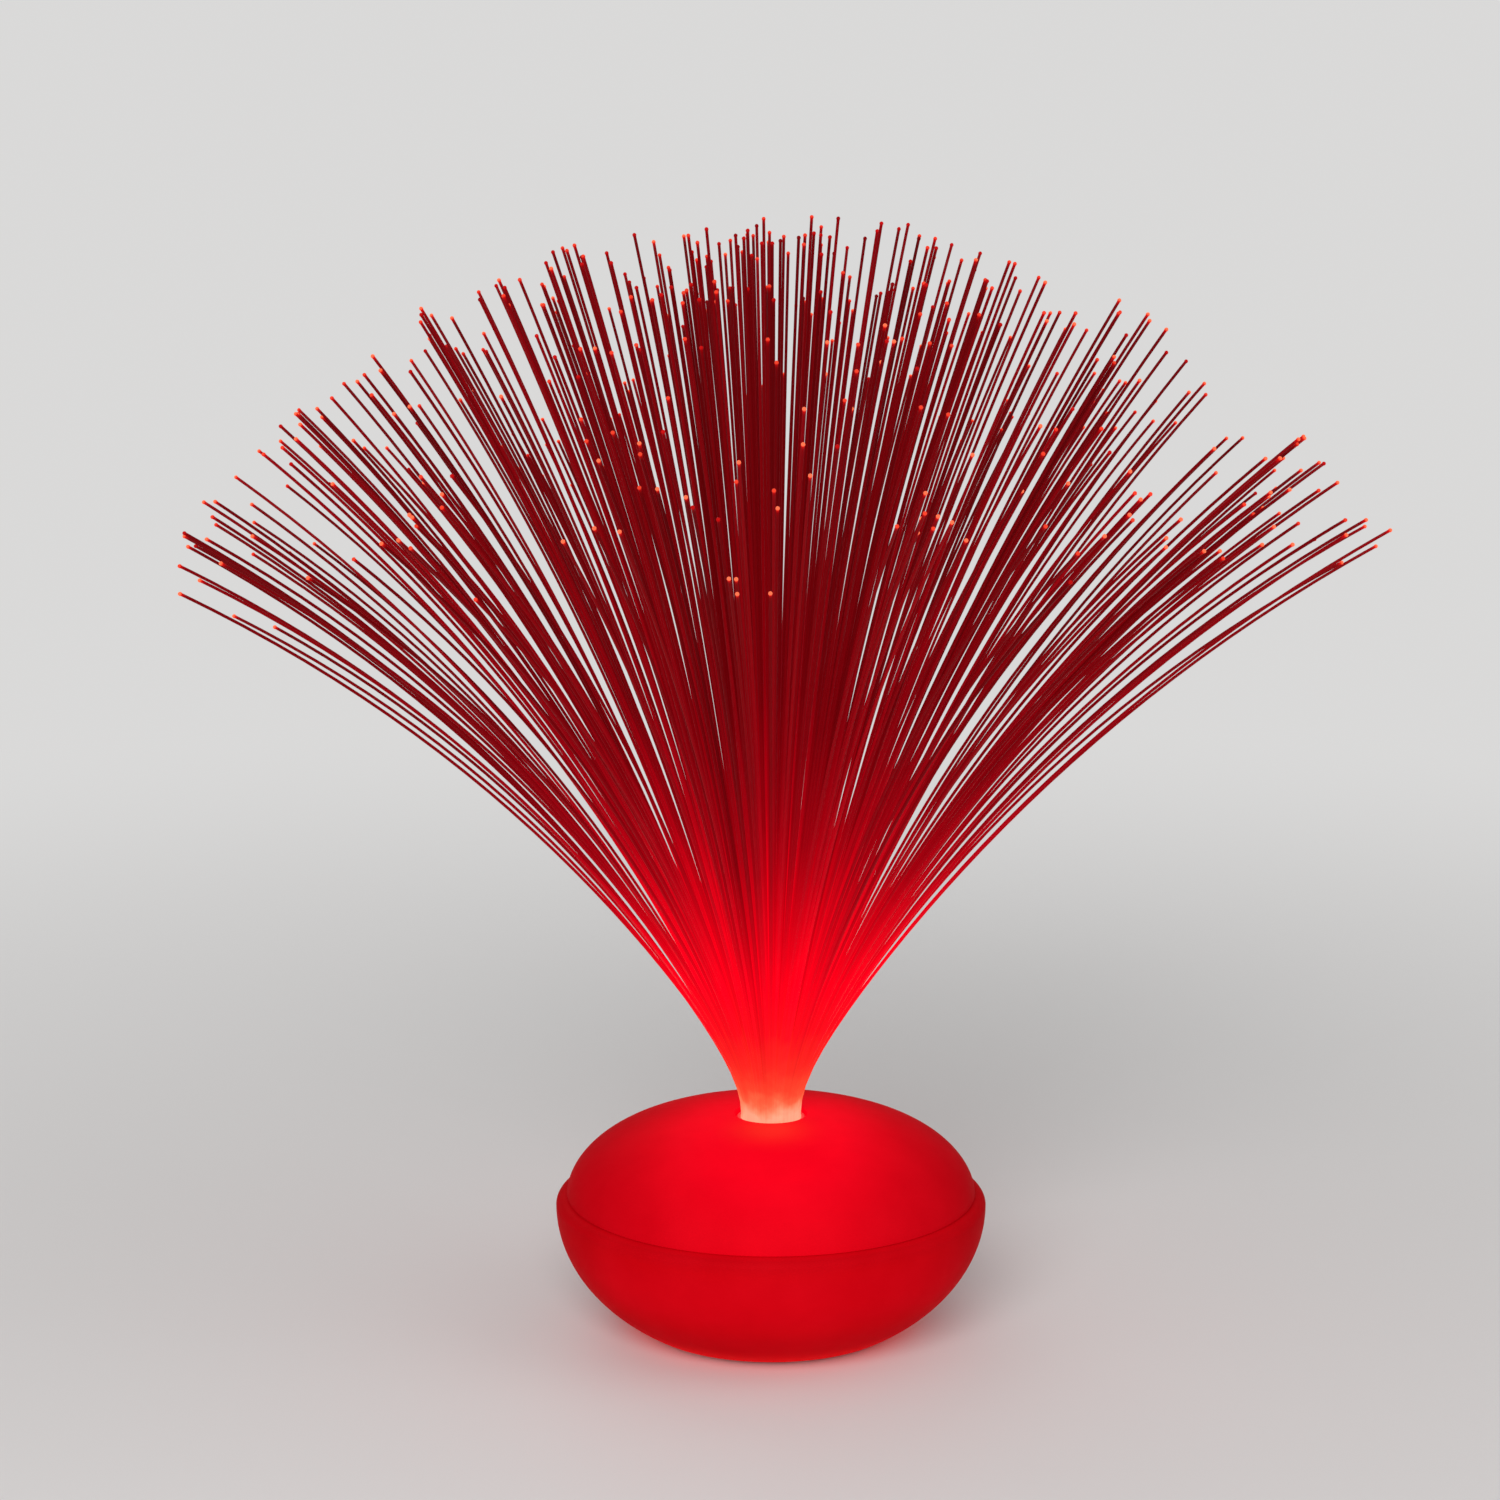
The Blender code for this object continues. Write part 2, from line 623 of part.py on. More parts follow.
def battery_door():
    """Door that swings on two hooks at the front end and opens by its thumb tab."""
    half_width = OPENING_HALF_WIDTH - FIT_GAP
    end = BAY_HALF_LENGTH - FIT_GAP
    top = PLATE_RISE + DOOR_THICKNESS
    panel = box((-half_width, -end, PLATE_RISE), (half_width, end, top))
    obj = solid("battery_door", panel, "base_plastic")
    hook_top = top + HOOK_DEPTH + JOIN_OVERLAP
    stems, noses = [], []
    for middle in hook_places():
        left, right = middle - HOOK_WIDTH / 2, middle + HOOK_WIDTH / 2
        nose_low = hook_top - HOOK_THICKNESS
        stems.append(box((left, -end, top - JOIN_OVERLAP), (right, -end + HOOK_REACH, hook_top)))
        noses.append(box((left, -end - HOOK_REACH, nose_low), (right, -end + HOOK_REACH / 2, hook_top)))
    half_thumb = THUMB_WIDTH / 2
    thumb_top = PLATE_RISE + THUMB_THICKNESS
    thumb = box((-half_thumb, end - CUT_OVERRUN, PLATE_RISE), (half_thumb, end + THUMB_LENGTH, thumb_top))
    combine(obj, "UNION", "stems", stems)
    combine(obj, "UNION", "noses", noses)
    combine(obj, "UNION", "thumb", [thumb])
    combine(obj, "DIFFERENCE", "slits", latch_slits(end, half_thumb) + door_grips(end))


def latch_slits(end, half_thumb):
    """Slits on both sides of the springy latch tongue."""
    slits = []
    for side in (-1, 1):
        near = side * (half_thumb + LATCH_SLIT_WIDTH)
        far = near + side * LATCH_SLIT_WIDTH
        low = (min(near, far), end - LATCH_SLIT_LENGTH, PLATE_RISE - CUT_OVERRUN)
        high = (max(near, far), end + CUT_OVERRUN, PLATE_RISE + DOOR_THICKNESS + CUT_OVERRUN)
        slits.append(box(low, high))
    return slits


def door_grips(end):
    """Shallow grooves on the door's outside, for the thumb."""
    grips = []
    for index in range(GRIP_COUNT):
        middle = end - LATCH_SLIT_LENGTH - GRIP_PITCH * (index + 1)
        low = (-GRIP_LENGTH / 2, middle - GRIP_WIDTH / 2, PLATE_RISE - CUT_OVERRUN)
        high = (GRIP_LENGTH / 2, middle + GRIP_WIDTH / 2, PLATE_RISE + GRIP_DEPTH)
        grips.append(box(low, high))
    return grips


def cell_places():
    """X of each cell, and the way that its positive end points along Y."""
    return [(-CELL_PITCH, 1), (0, -1), (CELL_PITCH, 1)]


def cells():
    """Three cells side by side, the middle one turned round."""
    shoulder = CELL_LENGTH - CELL_NUB_LENGTH
    profile = [
        (0, CELL_LENGTH),
        (CELL_NUB_RADIUS, CELL_LENGTH),
        (CELL_NUB_RADIUS, shoulder),
        (CELL_RADIUS - CELL_CHAMFER, shoulder),
        (CELL_RADIUS, shoulder - CELL_CHAMFER),
        (CELL_RADIUS, CELL_CHAMFER),
        (CELL_RADIUS - CELL_CHAMFER, 0),
        (0, 0),
    ]
    start = BAY_HALF_LENGTH - CONTACT_DEPTH - SPRING_LENGTH - FIT_GAP
    for index, (x, way) in enumerate(cell_places()):
        obj = turned(f"cell_{index + 1}", profile, "cell_jacket", SMALL_STEPS, on_axis=True)
        obj.rotation_euler = (-way * math.pi / 2, 0, 0)
        obj.location = (x, -way * start, CELL_Z)


def coil(name, x, way):
    """Coil spring between a contact plate and a cell's negative end."""
    height = SPRING_LENGTH - SPRING_WIRE_RADIUS * 2
    count = round(SPRING_TURNS * COIL_POINTS)
    low = BAY_HALF_LENGTH - CONTACT_DEPTH - SPRING_WIRE_RADIUS
    points = []
    for step in range(count + 1):
        angle = math.tau * step / COIL_POINTS
        across = x + SPRING_RADIUS * math.cos(angle)
        up = CELL_Z + SPRING_RADIUS * math.sin(angle)
        points.append(Vector((across, -way * (low - height * step / count), up)))
    tube(name, points, SPRING_WIRE_RADIUS, "nickel")


def tube(name, points, radius, finish):
    """Thin round wire through points, with closed ends."""
    curve = bpy.data.curves.new(name, "CURVE")
    curve.dimensions = "3D"
    curve.bevel_depth = radius
    curve.bevel_resolution = 1
    curve.use_fill_caps = True
    spline = curve.splines.new("POLY")
    spline.points.add(len(points) - 1)
    for point, place in zip(spline.points, points):
        point.co = (*place, 1)
    return add_part(name, curve, finish)


def contact_plate(name, low_x, high_x, end, tab_x=None):
    """Contact plate at one end of the bay, from X to X, and its solder tab through the roof."""
    middle = end * (BAY_HALF_LENGTH - FIT_GAP - CONTACT_THICKNESS / 2)
    half = CONTACT_THICKNESS / 2
    low, high = CELL_Z - CONTACT_HEIGHT / 2, CELL_Z + CONTACT_HEIGHT / 2
    plate = box((low_x, middle - half, low), (high_x, middle + half, high))
    obj = solid(name, plate, "nickel")
    if tab_x is not None:
        left, right = tab_x - CONTACT_TAB_WIDTH / 2, tab_x + CONTACT_TAB_WIDTH / 2
        top = TRAY_TOP + CONTACT_TAB_RISE
        tab = box((left, middle - half, high - JOIN_OVERLAP), (right, middle + half, top))
        combine(obj, "UNION", "tab", [tab])


def tab_places():
    """Middle of each solder tab, seen from above."""
    middle = BAY_HALF_LENGTH - FIT_GAP - CONTACT_THICKNESS / 2
    return [(-CELL_PITCH, -middle), (CELL_PITCH, middle)]


def contacts():
    """Plates and springs that put the three cells in series."""
    half = CONTACT_WIDTH / 2
    contact_plate("contact_plate_start", -CELL_PITCH - half, -CELL_PITCH + half, -1, -CELL_PITCH)
    contact_plate("contact_bridge_front", -half, CELL_PITCH + half, -1)
    contact_plate("contact_bridge_rear", -CELL_PITCH - half, half, 1)
    contact_plate("contact_plate_end", CELL_PITCH - half, CELL_PITCH + half, 1, CELL_PITCH)
    for index, (x, way) in enumerate(cell_places()):
        coil(f"contact_spring_{index + 1}", x, way)


def switch():
    """Slide switch over a slot in the base plate, with its knob at the off end."""
    half_width, half_length = SWITCH_BODY_WIDTH / 2, SWITCH_BODY_LENGTH / 2
    body = box(
        (SWITCH_PLACE - half_width, -half_length, SWITCH_BODY_Z),
        (SWITCH_PLACE + half_width, half_length, SWITCH_TOP),
    )
    solid("switch_body", body, "black_plastic")
    for index, y in enumerate(terminal_places()):
        low = SWITCH_TOP + FIT_GAP
        terminal = box(
            (SWITCH_PLACE - TERMINAL_WIDTH / 2, y - TERMINAL_THICKNESS / 2, low),
            (SWITCH_PLACE + TERMINAL_WIDTH / 2, y + TERMINAL_THICKNESS / 2, low + TERMINAL_HEIGHT),
        )
        solid(f"switch_terminal_{index + 1}", terminal, "nickel")
    switch_knob()


def terminal_places():
    return [-TERMINAL_SPACING / 2, TERMINAL_SPACING / 2]


def switch_knob():
    """Knob through the slot, with the flange that keeps it in."""
    flange_low = PLATE_TOP + FIT_GAP
    flange_top = flange_low + KNOB_FLANGE_THICKNESS
    half_width, half_length = KNOB_WIDTH / 2, KNOB_LENGTH / 2
    knob = box(
        (-half_width, -half_length, KNOB_CLEARANCE),
        (half_width, half_length, flange_low + JOIN_OVERLAP),
    )
    flange = box(
        (-half_width - KNOB_FLANGE_SIDE, -half_length - KNOB_FLANGE_SIDE, flange_low),
        (half_width + KNOB_FLANGE_SIDE, half_length + KNOB_FLANGE_SIDE, flange_top),
    )
    obj = solid("switch_knob", knob, "black_plastic")
    tool = combine(obj, "UNION", "flange", [flange])
    obj.location = (SWITCH_PLACE, -SWITCH_TRAVEL / 2, 0)
    tool.location = obj.location


def light_source():
    """Board on its posts, with the LED under the bundle and the parts that drive it."""
    obj = turned_disc("led_board", BOARD_RADIUS, BOARD_Z, BOARD_TOP, "board", SLEEVE_STEPS)
    radius = BOARD_SCREW_RADIUS + FIT_GAP
    low, high = BOARD_Z - CUT_OVERRUN, BOARD_TOP + CUT_OVERRUN
    combine(obj, "DIFFERENCE", "holes", [rod(x, y, radius, low, high) for x, y in post_places()[:2]])
    on_board("led_package", (0, 0), (LED_WIDTH, LED_WIDTH), LED_HEIGHT, "led_package")
    on_board("controller_chip", (CHIP_PLACE, 0), (CHIP_WIDTH, CHIP_LENGTH), CHIP_HEIGHT, "black_plastic")
    resistor = (RESISTOR_LENGTH, RESISTOR_WIDTH)
    for index, side in enumerate((-1, 1)):
        place = (side * RESISTOR_SPACING / 2, -RESISTOR_PLACE)
        on_board(f"resistor_{index + 1}", place, resistor, RESISTOR_HEIGHT, "black_plastic")
    foot = BOARD_TOP + FIT_GAP
    capacitor = rod(0, CAPACITOR_PLACE, CAPACITOR_RADIUS, foot, foot + CAPACITOR_HEIGHT)
    solid("smoothing_capacitor", capacitor, "black_plastic")
    led_lens()


def on_board(name, place, size, height, finish):
    """Small block that sits on the board."""
    x, y = place
    foot = BOARD_TOP + FIT_GAP
    low = (x - size[0] / 2, y - size[1] / 2, foot)
    high = (x + size[0] / 2, y + size[1] / 2, foot + height)
    solid(name, box(low, high), finish)


def led_lens():
    """Clear dome on the LED's package."""
    foot = BOARD_TOP + FIT_GAP + LED_HEIGHT + FIT_GAP
    count = SHOULDER_POINTS + 1
    profile = arc((0, foot), LENS_RADIUS, LENS_RADIUS, math.pi / 2, 0, count)
    profile[0] = (0, foot + LENS_RADIUS)
    turned("led_lens", profile + [(0, foot)], "led_lens", SMALL_STEPS, on_axis=True)


def bundle_socket():
    """Flanged sleeve under the dome that the ferrule stands in, with its stop and key."""
    outer_radius = HOLE_RADIUS + SOCKET_WALL
    lip_radius = HOLE_RADIUS - SOCKET_LIP_WIDTH
    flange_foot = FLANGE_TOP - FLANGE_THICKNESS
    profile = [
        (FLANGE_RADIUS, FLANGE_TOP),
        (FLANGE_RADIUS, flange_foot),
        (outer_radius, flange_foot),
        (outer_radius, SOCKET_FOOT),
        (lip_radius, SOCKET_FOOT),
        (lip_radius, SOCKET_LIP_TOP),
        (HOLE_RADIUS, SOCKET_LIP_TOP),
        (HOLE_RADIUS, FLANGE_TOP),
    ]
    obj = turned("bundle_socket", profile, "sleeve_plastic", SLEEVE_STEPS)
    key = box(
        (-KEY_WIDTH / 2, FERRULE_INNER_RADIUS, SOCKET_LIP_TOP - JOIN_OVERLAP),
        (KEY_WIDTH / 2, HOLE_RADIUS + JOIN_OVERLAP, SOCKET_LIP_TOP + KEY_HEIGHT),
    )
    combine(obj, "UNION", "key", [key])


def ferrule():
    """Sleeve on the foot of the bundle, with a notch for the socket's key."""
    profile = [
        (FERRULE_RADIUS - FERRULE_CHAMFER, FERRULE_TOP),
        (FERRULE_RADIUS, FERRULE_TOP - FERRULE_CHAMFER),
        (FERRULE_RADIUS, FERRULE_FOOT),
        (FERRULE_INNER_RADIUS, FERRULE_FOOT),
        (FERRULE_INNER_RADIUS, FERRULE_TOP),
    ]
    obj = turned("ferrule", profile, "sleeve_plastic", SLEEVE_STEPS)
    half = KEY_WIDTH / 2 + FIT_GAP
    notch = box(
        (-half, FERRULE_INNER_RADIUS - CUT_OVERRUN, FERRULE_FOOT - CUT_OVERRUN),
        (half, FERRULE_RADIUS + CUT_OVERRUN, FERRULE_FOOT + KEY_HEIGHT),
    )
    combine(obj, "DIFFERENCE", "notch", [notch])


def strand_route(root, azimuth, lean, bend_share, length, point_shares):
    """Points of a fiber that leaves upright, bends out near its root and then droops slowly."""
    step = length / CURVE_STEPS
    marks = [round(share * CURVE_STEPS) for share in point_shares]
    out, up = 0, 0
    points = [Vector((*root, SHEAF_TOP - STRAND_SUNK))]
    for index in range(1, CURVE_STEPS + 1):
        share = (index - 1 / 2) / CURVE_STEPS
        bend = bend_share * (1 - math.exp(-share / ROOT_REACH_SHARE))
        angle = lean * (bend + (1 - bend_share) * share)
        out += math.sin(angle) * step
        up += math.cos(angle) * step
        if index in marks:
            x = root[0] + out * math.cos(azimuth)
            y = root[1] + out * math.sin(azimuth)
            points.append(Vector((x, y, SHEAF_TOP + up)))
    return points


def sheaf_places(sheaf, chance):
    """Ring, root and aim of each fiber of one sheaf. Each ring has one fiber more than the last."""
    middle = SHEAF_ANGLE * (sheaf + 1 / 2) - math.pi / 2
    places = []
    for ring in range(1, RING_COUNT + 1):
        for index in range(ring):
            angle = middle + SHEAF_ANGLE * ((index + 1 / 2) / ring - 1 / 2)
            x = SHEAF_SPREAD * math.cos(middle) + FIBER_PITCH * ring * math.cos(angle)
            y = SHEAF_SPREAD * math.sin(middle) + FIBER_PITCH * ring * math.sin(angle)
            turn = chance.uniform(-1, 1) * TURN_JITTER_SHARE * SHEAF_ANGLE / ring
            azimuth = math.atan2(y, x) + turn
            place = (ring - 1 / 2 + chance.uniform(-1, 1) * LEAN_JITTER_SHARE) / RING_COUNT
            aim = Vector((place * math.cos(azimuth), place * math.sin(azimuth)))
            places.append((ring, (x, y), aim))
    return places


def sheaf_routes(sheaf, chance):
    """Fibers of one sheaf, drawn together in clumps. A few are short, and a few stray outwards."""
    places = sheaf_places(sheaf, chance)
    middles = chance.sample([aim for _, _, aim in places], CLUMP_COUNT)
    clumps = [(middle, chance.random()) for middle in middles]
    routes = []
    for ring, root, aim in places:
        middle, clump_trim = min(clumps, key=lambda clump: (clump[0] - aim).length)
        aim = aim.lerp(middle, CLUMP_PULL_SHARE)
        azimuth = math.atan2(aim.y, aim.x)
        narrowing = (1 - DEPTH_LEAN_SHARE) * math.sin(azimuth) ** 2
        lean = LARGEST_LEAN * aim.length**LEAN_EXPONENT * (1 - narrowing)
        loose = CLUMP_TRIM_SHARE * clump_trim + (1 - CLUMP_TRIM_SHARE) * chance.random()
        trim = TRIM_SHARE * loose**2 + OUTER_TRIM_SHARE * aim.length**2
        if chance.random() < SHORT_SHARE:
            trim += SHORT_TRIM_SHARE * chance.random()
        stray = ring == RING_COUNT and chance.random() < STRAY_SHARE
        bend_share = STRAY_BEND_SHARE if stray else ROOT_BEND_SHARE
        length = FIBER_LENGTH * (1 - trim)
        point_shares = OUTER_POINT_SHARES if ring >= OUTER_RING else POINT_SHARES
        routes.append(strand_route(root, azimuth, lean, bend_share, length, point_shares))
    return routes


def sheaf_slice(sheaf):
    """Adds one slice of the potted foot of the bundle to a mesh."""

    def add(bm):
        middle = SHEAF_ANGLE * (sheaf + 1 / 2) - math.pi / 2
        apex = SHEAF_GAP / 2 / math.sin(SHEAF_ANGLE / 2)
        inset = math.asin(SHEAF_GAP / 2 / BUNDLE_RADIUS)
        places = [(apex, middle)]
        for step in range(SHOULDER_POINTS + 1):
            share = step / SHOULDER_POINTS - 1 / 2
            places.append((BUNDLE_RADIUS, middle + (SHEAF_ANGLE - inset * 2) * share))
        corners = [
            bm.verts.new((radius * math.cos(angle), radius * math.sin(angle), FERRULE_FOOT))
            for radius, angle in places
        ]
        foot = bm.faces.new(corners)
        raised = bmesh.ops.extrude_face_region(bm, geom=[foot])["geom"]
        top = [item for item in raised if isinstance(item, bmesh.types.BMVert)]
        bmesh.ops.translate(bm, vec=(0, 0, SHEAF_TOP - FERRULE_FOOT), verts=top)
        bmesh.ops.recalc_face_normals(bm, faces=bm.faces)

    return add


def fiber_section():
    """Three-sided outline that the strands are drawn with."""
    curve = bpy.data.curves.new("fiber_section", "CURVE")
    spline = curve.splines.new("POLY")
    spline.points.add(2)
    spline.use_cyclic_u = True
    for index, point in enumerate(spline.points):
        angle = math.tau * index / len(spline.points)
        point.co = (FIBER_RADIUS * math.cos(angle), FIBER_RADIUS * math.sin(angle), 0, 1)
    obj = bpy.data.objects.new("fiber_section", curve)
    obj.hide_render = True
    obj.display_type = "WIRE"
    CUTTERS.objects.link(obj)
    return obj


def strands_mesh(name, routes, section):
    """Closed three-sided strands along their routes, as one mesh."""
    curve = bpy.data.curves.new(name, "CURVE")
    curve.dimensions = "3D"
    curve.bevel_mode = "OBJECT"
    curve.bevel_object = section
    curve.use_fill_caps = True
    for route in routes:
        spline = curve.splines.new("POLY")
        spline.points.add(len(route) - 1)
        for point, place in zip(spline.points, route):
            point.co = (*place, 1)
    obj = bpy.data.objects.new(name, curve)
    CUTTERS.objects.link(obj)
    mesh = baked_mesh(obj, name)
    bm = bmesh.new()
    bm.from_mesh(mesh)
    bmesh.ops.remove_doubles(bm, verts=bm.verts, dist=MERGE_DISTANCE)
    bmesh.ops.recalc_face_normals(bm, faces=bm.faces)
    bm.to_mesh(mesh)
    bm.free()
    return mesh


def fiber_sheaves():
    """Fiber spray in slices: each has its potted foot and the strands that grow from it."""
    chance = random.Random(SPRAY_SEED)
    section = fiber_section()
    every_route = []
    for sheaf in range(SHEAF_COUNT):
        name = f"fiber_sheaf_{sheaf + 1}"
        routes = sheaf_routes(sheaf, chance)
        every_route += routes
        obj = solid(name, sheaf_slice(sheaf), "optical_fiber")
        tool = combine(obj, "UNION", "strands", [])
        tool.data = strands_mesh(f"{name}_strands", routes, section)
    gap = least_strand_gap(every_route)
    print(f"{len(every_route)} strands, least gap {gap * 1000:.3f} mm")


def least_strand_gap(routes):
    """Least clear distance between any two strands, from the distances of their segments."""
    starts, ways, owners = [], [], []
    for owner, route in enumerate(routes):
        for first, second in zip(route, route[1:]):
            starts.append(first)
            ways.append(second - first)
            owners.append(owner)
    starts, ways, owners = np.array(starts), np.array(ways), np.array(owners)
    least = math.inf
    for index in range(len(starts)):
        others = owners > owners[index]
        if others.any():
            distances = segment_distances(starts[index], ways[index], starts[others], ways[others])
            least = min(least, distances.min())
    return least - FIBER_RADIUS * 2


def segment_distances(start, way, starts, ways):
    """Distances between one segment and many."""
    between = start - starts
    own, theirs = way @ way, (ways * ways).sum(axis=1)
    mixed, along, across = ways @ way, between @ way, (between * ways).sum(axis=1)
    spread = own * theirs - mixed * mixed
    safe = np.where(spread > 0, spread, 1)
    own_share = np.where(spread > 0, np.clip((mixed * across - along * theirs) / safe, 0, 1), 0)
    their_share = np.clip((mixed * own_share + across) / theirs, 0, 1)
    own_share = np.clip((mixed * their_share - along) / own, 0, 1)
    gaps = between + own_share[:, None] * way - their_share[:, None] * ways
    return np.linalg.norm(gaps, axis=1)


def smooth_route(points):
    """Points of a smooth curve through the route's own points."""
    route = [points[0], *points, points[-1]]
    result = []
    for before, first, second, after in zip(route, route[1:], route[2:], route[3:]):
        for step in range(WIRE_SPAN_STEPS):
            share = step / WIRE_SPAN_STEPS
            result.append(
                (
                    first * 2
                    + (second - before) * share
                    + (before * 2 - first * 5 + second * 4 - after) * share**2
                    + (first * 3 - before - second * 3 + after) * share**3
                )
                / 2
            )
    return result + [points[-1]]


def wire(name, start, route, end, finish):
    """Insulated wire that leaves and meets its terminals straight from above."""
    rise = Vector((0, 0, WIRE_STRAIGHT))
    start, end = Vector(start), Vector(end)
    leaving = [start, start + rise, start + rise * 2]
    meeting = [end + rise * 2, end + rise, end]
    points = leaving + [Vector(point) for point in route] + meeting
    tube(name, smooth_route(points), WIRE_RADIUS, finish)


def pad_place(angle):
    """Foot of a wire on the board."""
    x, y = PAD_CIRCLE * math.cos(angle), PAD_CIRCLE * math.sin(angle)
    return (x, y, BOARD_TOP + FIT_GAP)


def wires():
    """Cell tab to board, cell tab to switch, and switch to board."""
    tab_z = TRAY_TOP + CONTACT_TAB_RISE + FIT_GAP
    start_tab, end_tab = tab_places()
    terminal_z = SWITCH_TOP + FIT_GAP + TERMINAL_HEIGHT + FIT_GAP
    terminals = [(SWITCH_PLACE, y, terminal_z) for y in terminal_places()]
    negative_pad, switched_pad = pad_place(NEGATIVE_PAD_ANGLE), pad_place(SWITCHED_PAD_ANGLE)
    wire("wire_battery_negative", (*start_tab, tab_z), NEGATIVE_ROUTE, negative_pad, "black_wire")
    wire("wire_battery_positive", (*end_tab, tab_z), POSITIVE_ROUTE, terminals[0], "red_wire")
    wire("wire_switched", terminals[1], SWITCHED_ROUTE, switched_pad, "red_wire")


def screw_mesh(name, head_radius, head_height, radius, length):
    """Pan-head screw with a cross recess, whose head's seat is at zero and whose tip points down."""
    tip = radius / 2
    profile = [
        (0, head_height),
        (head_radius * 3 / 4, head_height),
        (head_radius, head_height / 2),
        (head_radius, 0),
        (radius, 0),
        (radius, -length + radius),
        (tip, -length),
        (0, -length),
    ]
    obj = turned(name, profile, "steel", SMALL_STEPS, on_axis=True)
    half_width = head_radius * RECESS_WIDTH_SHARE / 2
    half_length = head_radius * RECESS_LENGTH_SHARE / 2
    floor = head_height * (1 - RECESS_DEPTH_SHARE)
    top = head_height + CUT_OVERRUN
    bars = {
        "bar_across": (half_length, half_width),
        "bar_along": (half_width, half_length),
    }
    for bar, (x, y) in bars.items():
        combine(obj, "DIFFERENCE", bar, [box((-x, -y, floor), (x, y, top))])
    return baked_mesh(obj, name)


def screws():
    """Screws of the base plate, from below, and of the board, from above."""
    base = screw_mesh(
        "base_screw", BASE_SCREW_HEAD_RADIUS, BASE_SCREW_HEAD_HEIGHT, BASE_SCREW_RADIUS, BASE_SCREW_LENGTH
    )
    seat = PLATE_RISE + BASE_SCREW_HEAD_HEIGHT
    for index, (x, y) in enumerate(boss_places()):
        obj = add_part(f"base_screw_{index + 1}", base, "steel")
        obj.location = (x, y, seat)
        obj.rotation_euler = (math.pi, 0, 0)
    board = screw_mesh(
        "board_screw", BOARD_SCREW_HEAD_RADIUS, BOARD_SCREW_HEAD_HEIGHT, BOARD_SCREW_RADIUS,
        BOARD_SCREW_LENGTH,
    )
    for index, (x, y) in enumerate(post_places()[:2]):
        obj = add_part(f"board_screw_{index + 1}", board, "steel")
        obj.location = (x, y, BOARD_TOP + FIT_GAP)


def rubber_feet():
    """Feet under the base plate, which the lamp stands on."""
    top = PLATE_RISE - FIT_GAP
    profile = [
        (0, top),
        (RUBBER_FOOT_RADIUS, top),
        (RUBBER_FOOT_RADIUS, RUBBER_FOOT_CHAMFER),
        (RUBBER_FOOT_RADIUS - RUBBER_FOOT_CHAMFER, 0),
        (0, 0),
    ]
    corners = [(x, y) for x in (-1, 1) for y in (-1, 1)]
    for index, (x, y) in enumerate(corners):
        obj = turned(f"rubber_foot_{index + 1}", profile, "rubber", SMALL_STEPS, on_axis=True)
        obj.location = (x * RUBBER_FOOT_PLACE, y * RUBBER_FOOT_PLACE, 0)


upper_shell()
lower_shell()
base_plate()
battery_door()
cells()
contacts()
switch()
light_source()
bundle_socket()
ferrule()
fiber_sheaves()
wires()
screws()
rubber_feet()
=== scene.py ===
import math
import random

import bmesh
import bpy
import numpy as np
from mathutils import Matrix, Vector


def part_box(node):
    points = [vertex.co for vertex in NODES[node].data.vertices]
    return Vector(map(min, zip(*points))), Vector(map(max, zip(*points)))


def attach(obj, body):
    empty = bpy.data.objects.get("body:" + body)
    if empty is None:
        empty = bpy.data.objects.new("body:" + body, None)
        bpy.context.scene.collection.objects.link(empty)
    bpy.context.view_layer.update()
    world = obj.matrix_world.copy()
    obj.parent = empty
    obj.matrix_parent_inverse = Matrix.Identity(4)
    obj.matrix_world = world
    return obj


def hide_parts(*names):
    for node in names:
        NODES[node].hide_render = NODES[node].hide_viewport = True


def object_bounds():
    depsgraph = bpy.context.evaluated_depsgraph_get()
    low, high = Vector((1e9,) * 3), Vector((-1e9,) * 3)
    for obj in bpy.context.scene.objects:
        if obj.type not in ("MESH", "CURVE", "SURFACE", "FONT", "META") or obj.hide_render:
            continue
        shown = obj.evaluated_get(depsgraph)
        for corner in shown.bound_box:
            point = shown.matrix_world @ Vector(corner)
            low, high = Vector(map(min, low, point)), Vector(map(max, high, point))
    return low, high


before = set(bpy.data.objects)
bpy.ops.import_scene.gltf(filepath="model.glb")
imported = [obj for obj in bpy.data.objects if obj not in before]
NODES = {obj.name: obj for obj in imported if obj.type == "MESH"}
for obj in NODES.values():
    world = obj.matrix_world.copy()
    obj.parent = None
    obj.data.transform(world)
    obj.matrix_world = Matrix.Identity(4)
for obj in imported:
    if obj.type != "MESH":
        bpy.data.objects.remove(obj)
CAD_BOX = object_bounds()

# Camera and studio
CAMERA_PLACE = (0, -1.0466, 0.3743)
CAMERA_PITCH = math.radians(11.35)
CAMERA_YAW = math.radians(0.32)
CAMERA_LENS = 93.74
STUDIO_AIM = (0, 0, 0.13)
FLOOR_RADIUS = 30
FLOOR_STEPS = 96
BACKDROP_START = 0.1
BACKDROP_END = 0.9
WORLD_STRENGTH = 0.55
PALE = (0.70, 0.695, 0.69)
LAMPS = (
    # name, place, size and power
    ("key", (-0.30, -1.8, 1.05), 1.3, 27),
    ("fill", (1.6, -0.5, 1.2), 1.6, 4),
    ("back", (-0.6, 1.6, 1.3), 1.5, 3),
)

# Brightest patch of the frosted shells, which lies a little nearer the front than the light source
PATCH_PLACE = 0.018
PATCH_DEPTH_SHARE = 0.77
PATCH_REACH = 0.080

# Painted highlight: a paler spot of light on the dome, just in front of the fiber hole
HIGHLIGHT_PLACE = 0.015
HIGHLIGHT_REACH = 0.020

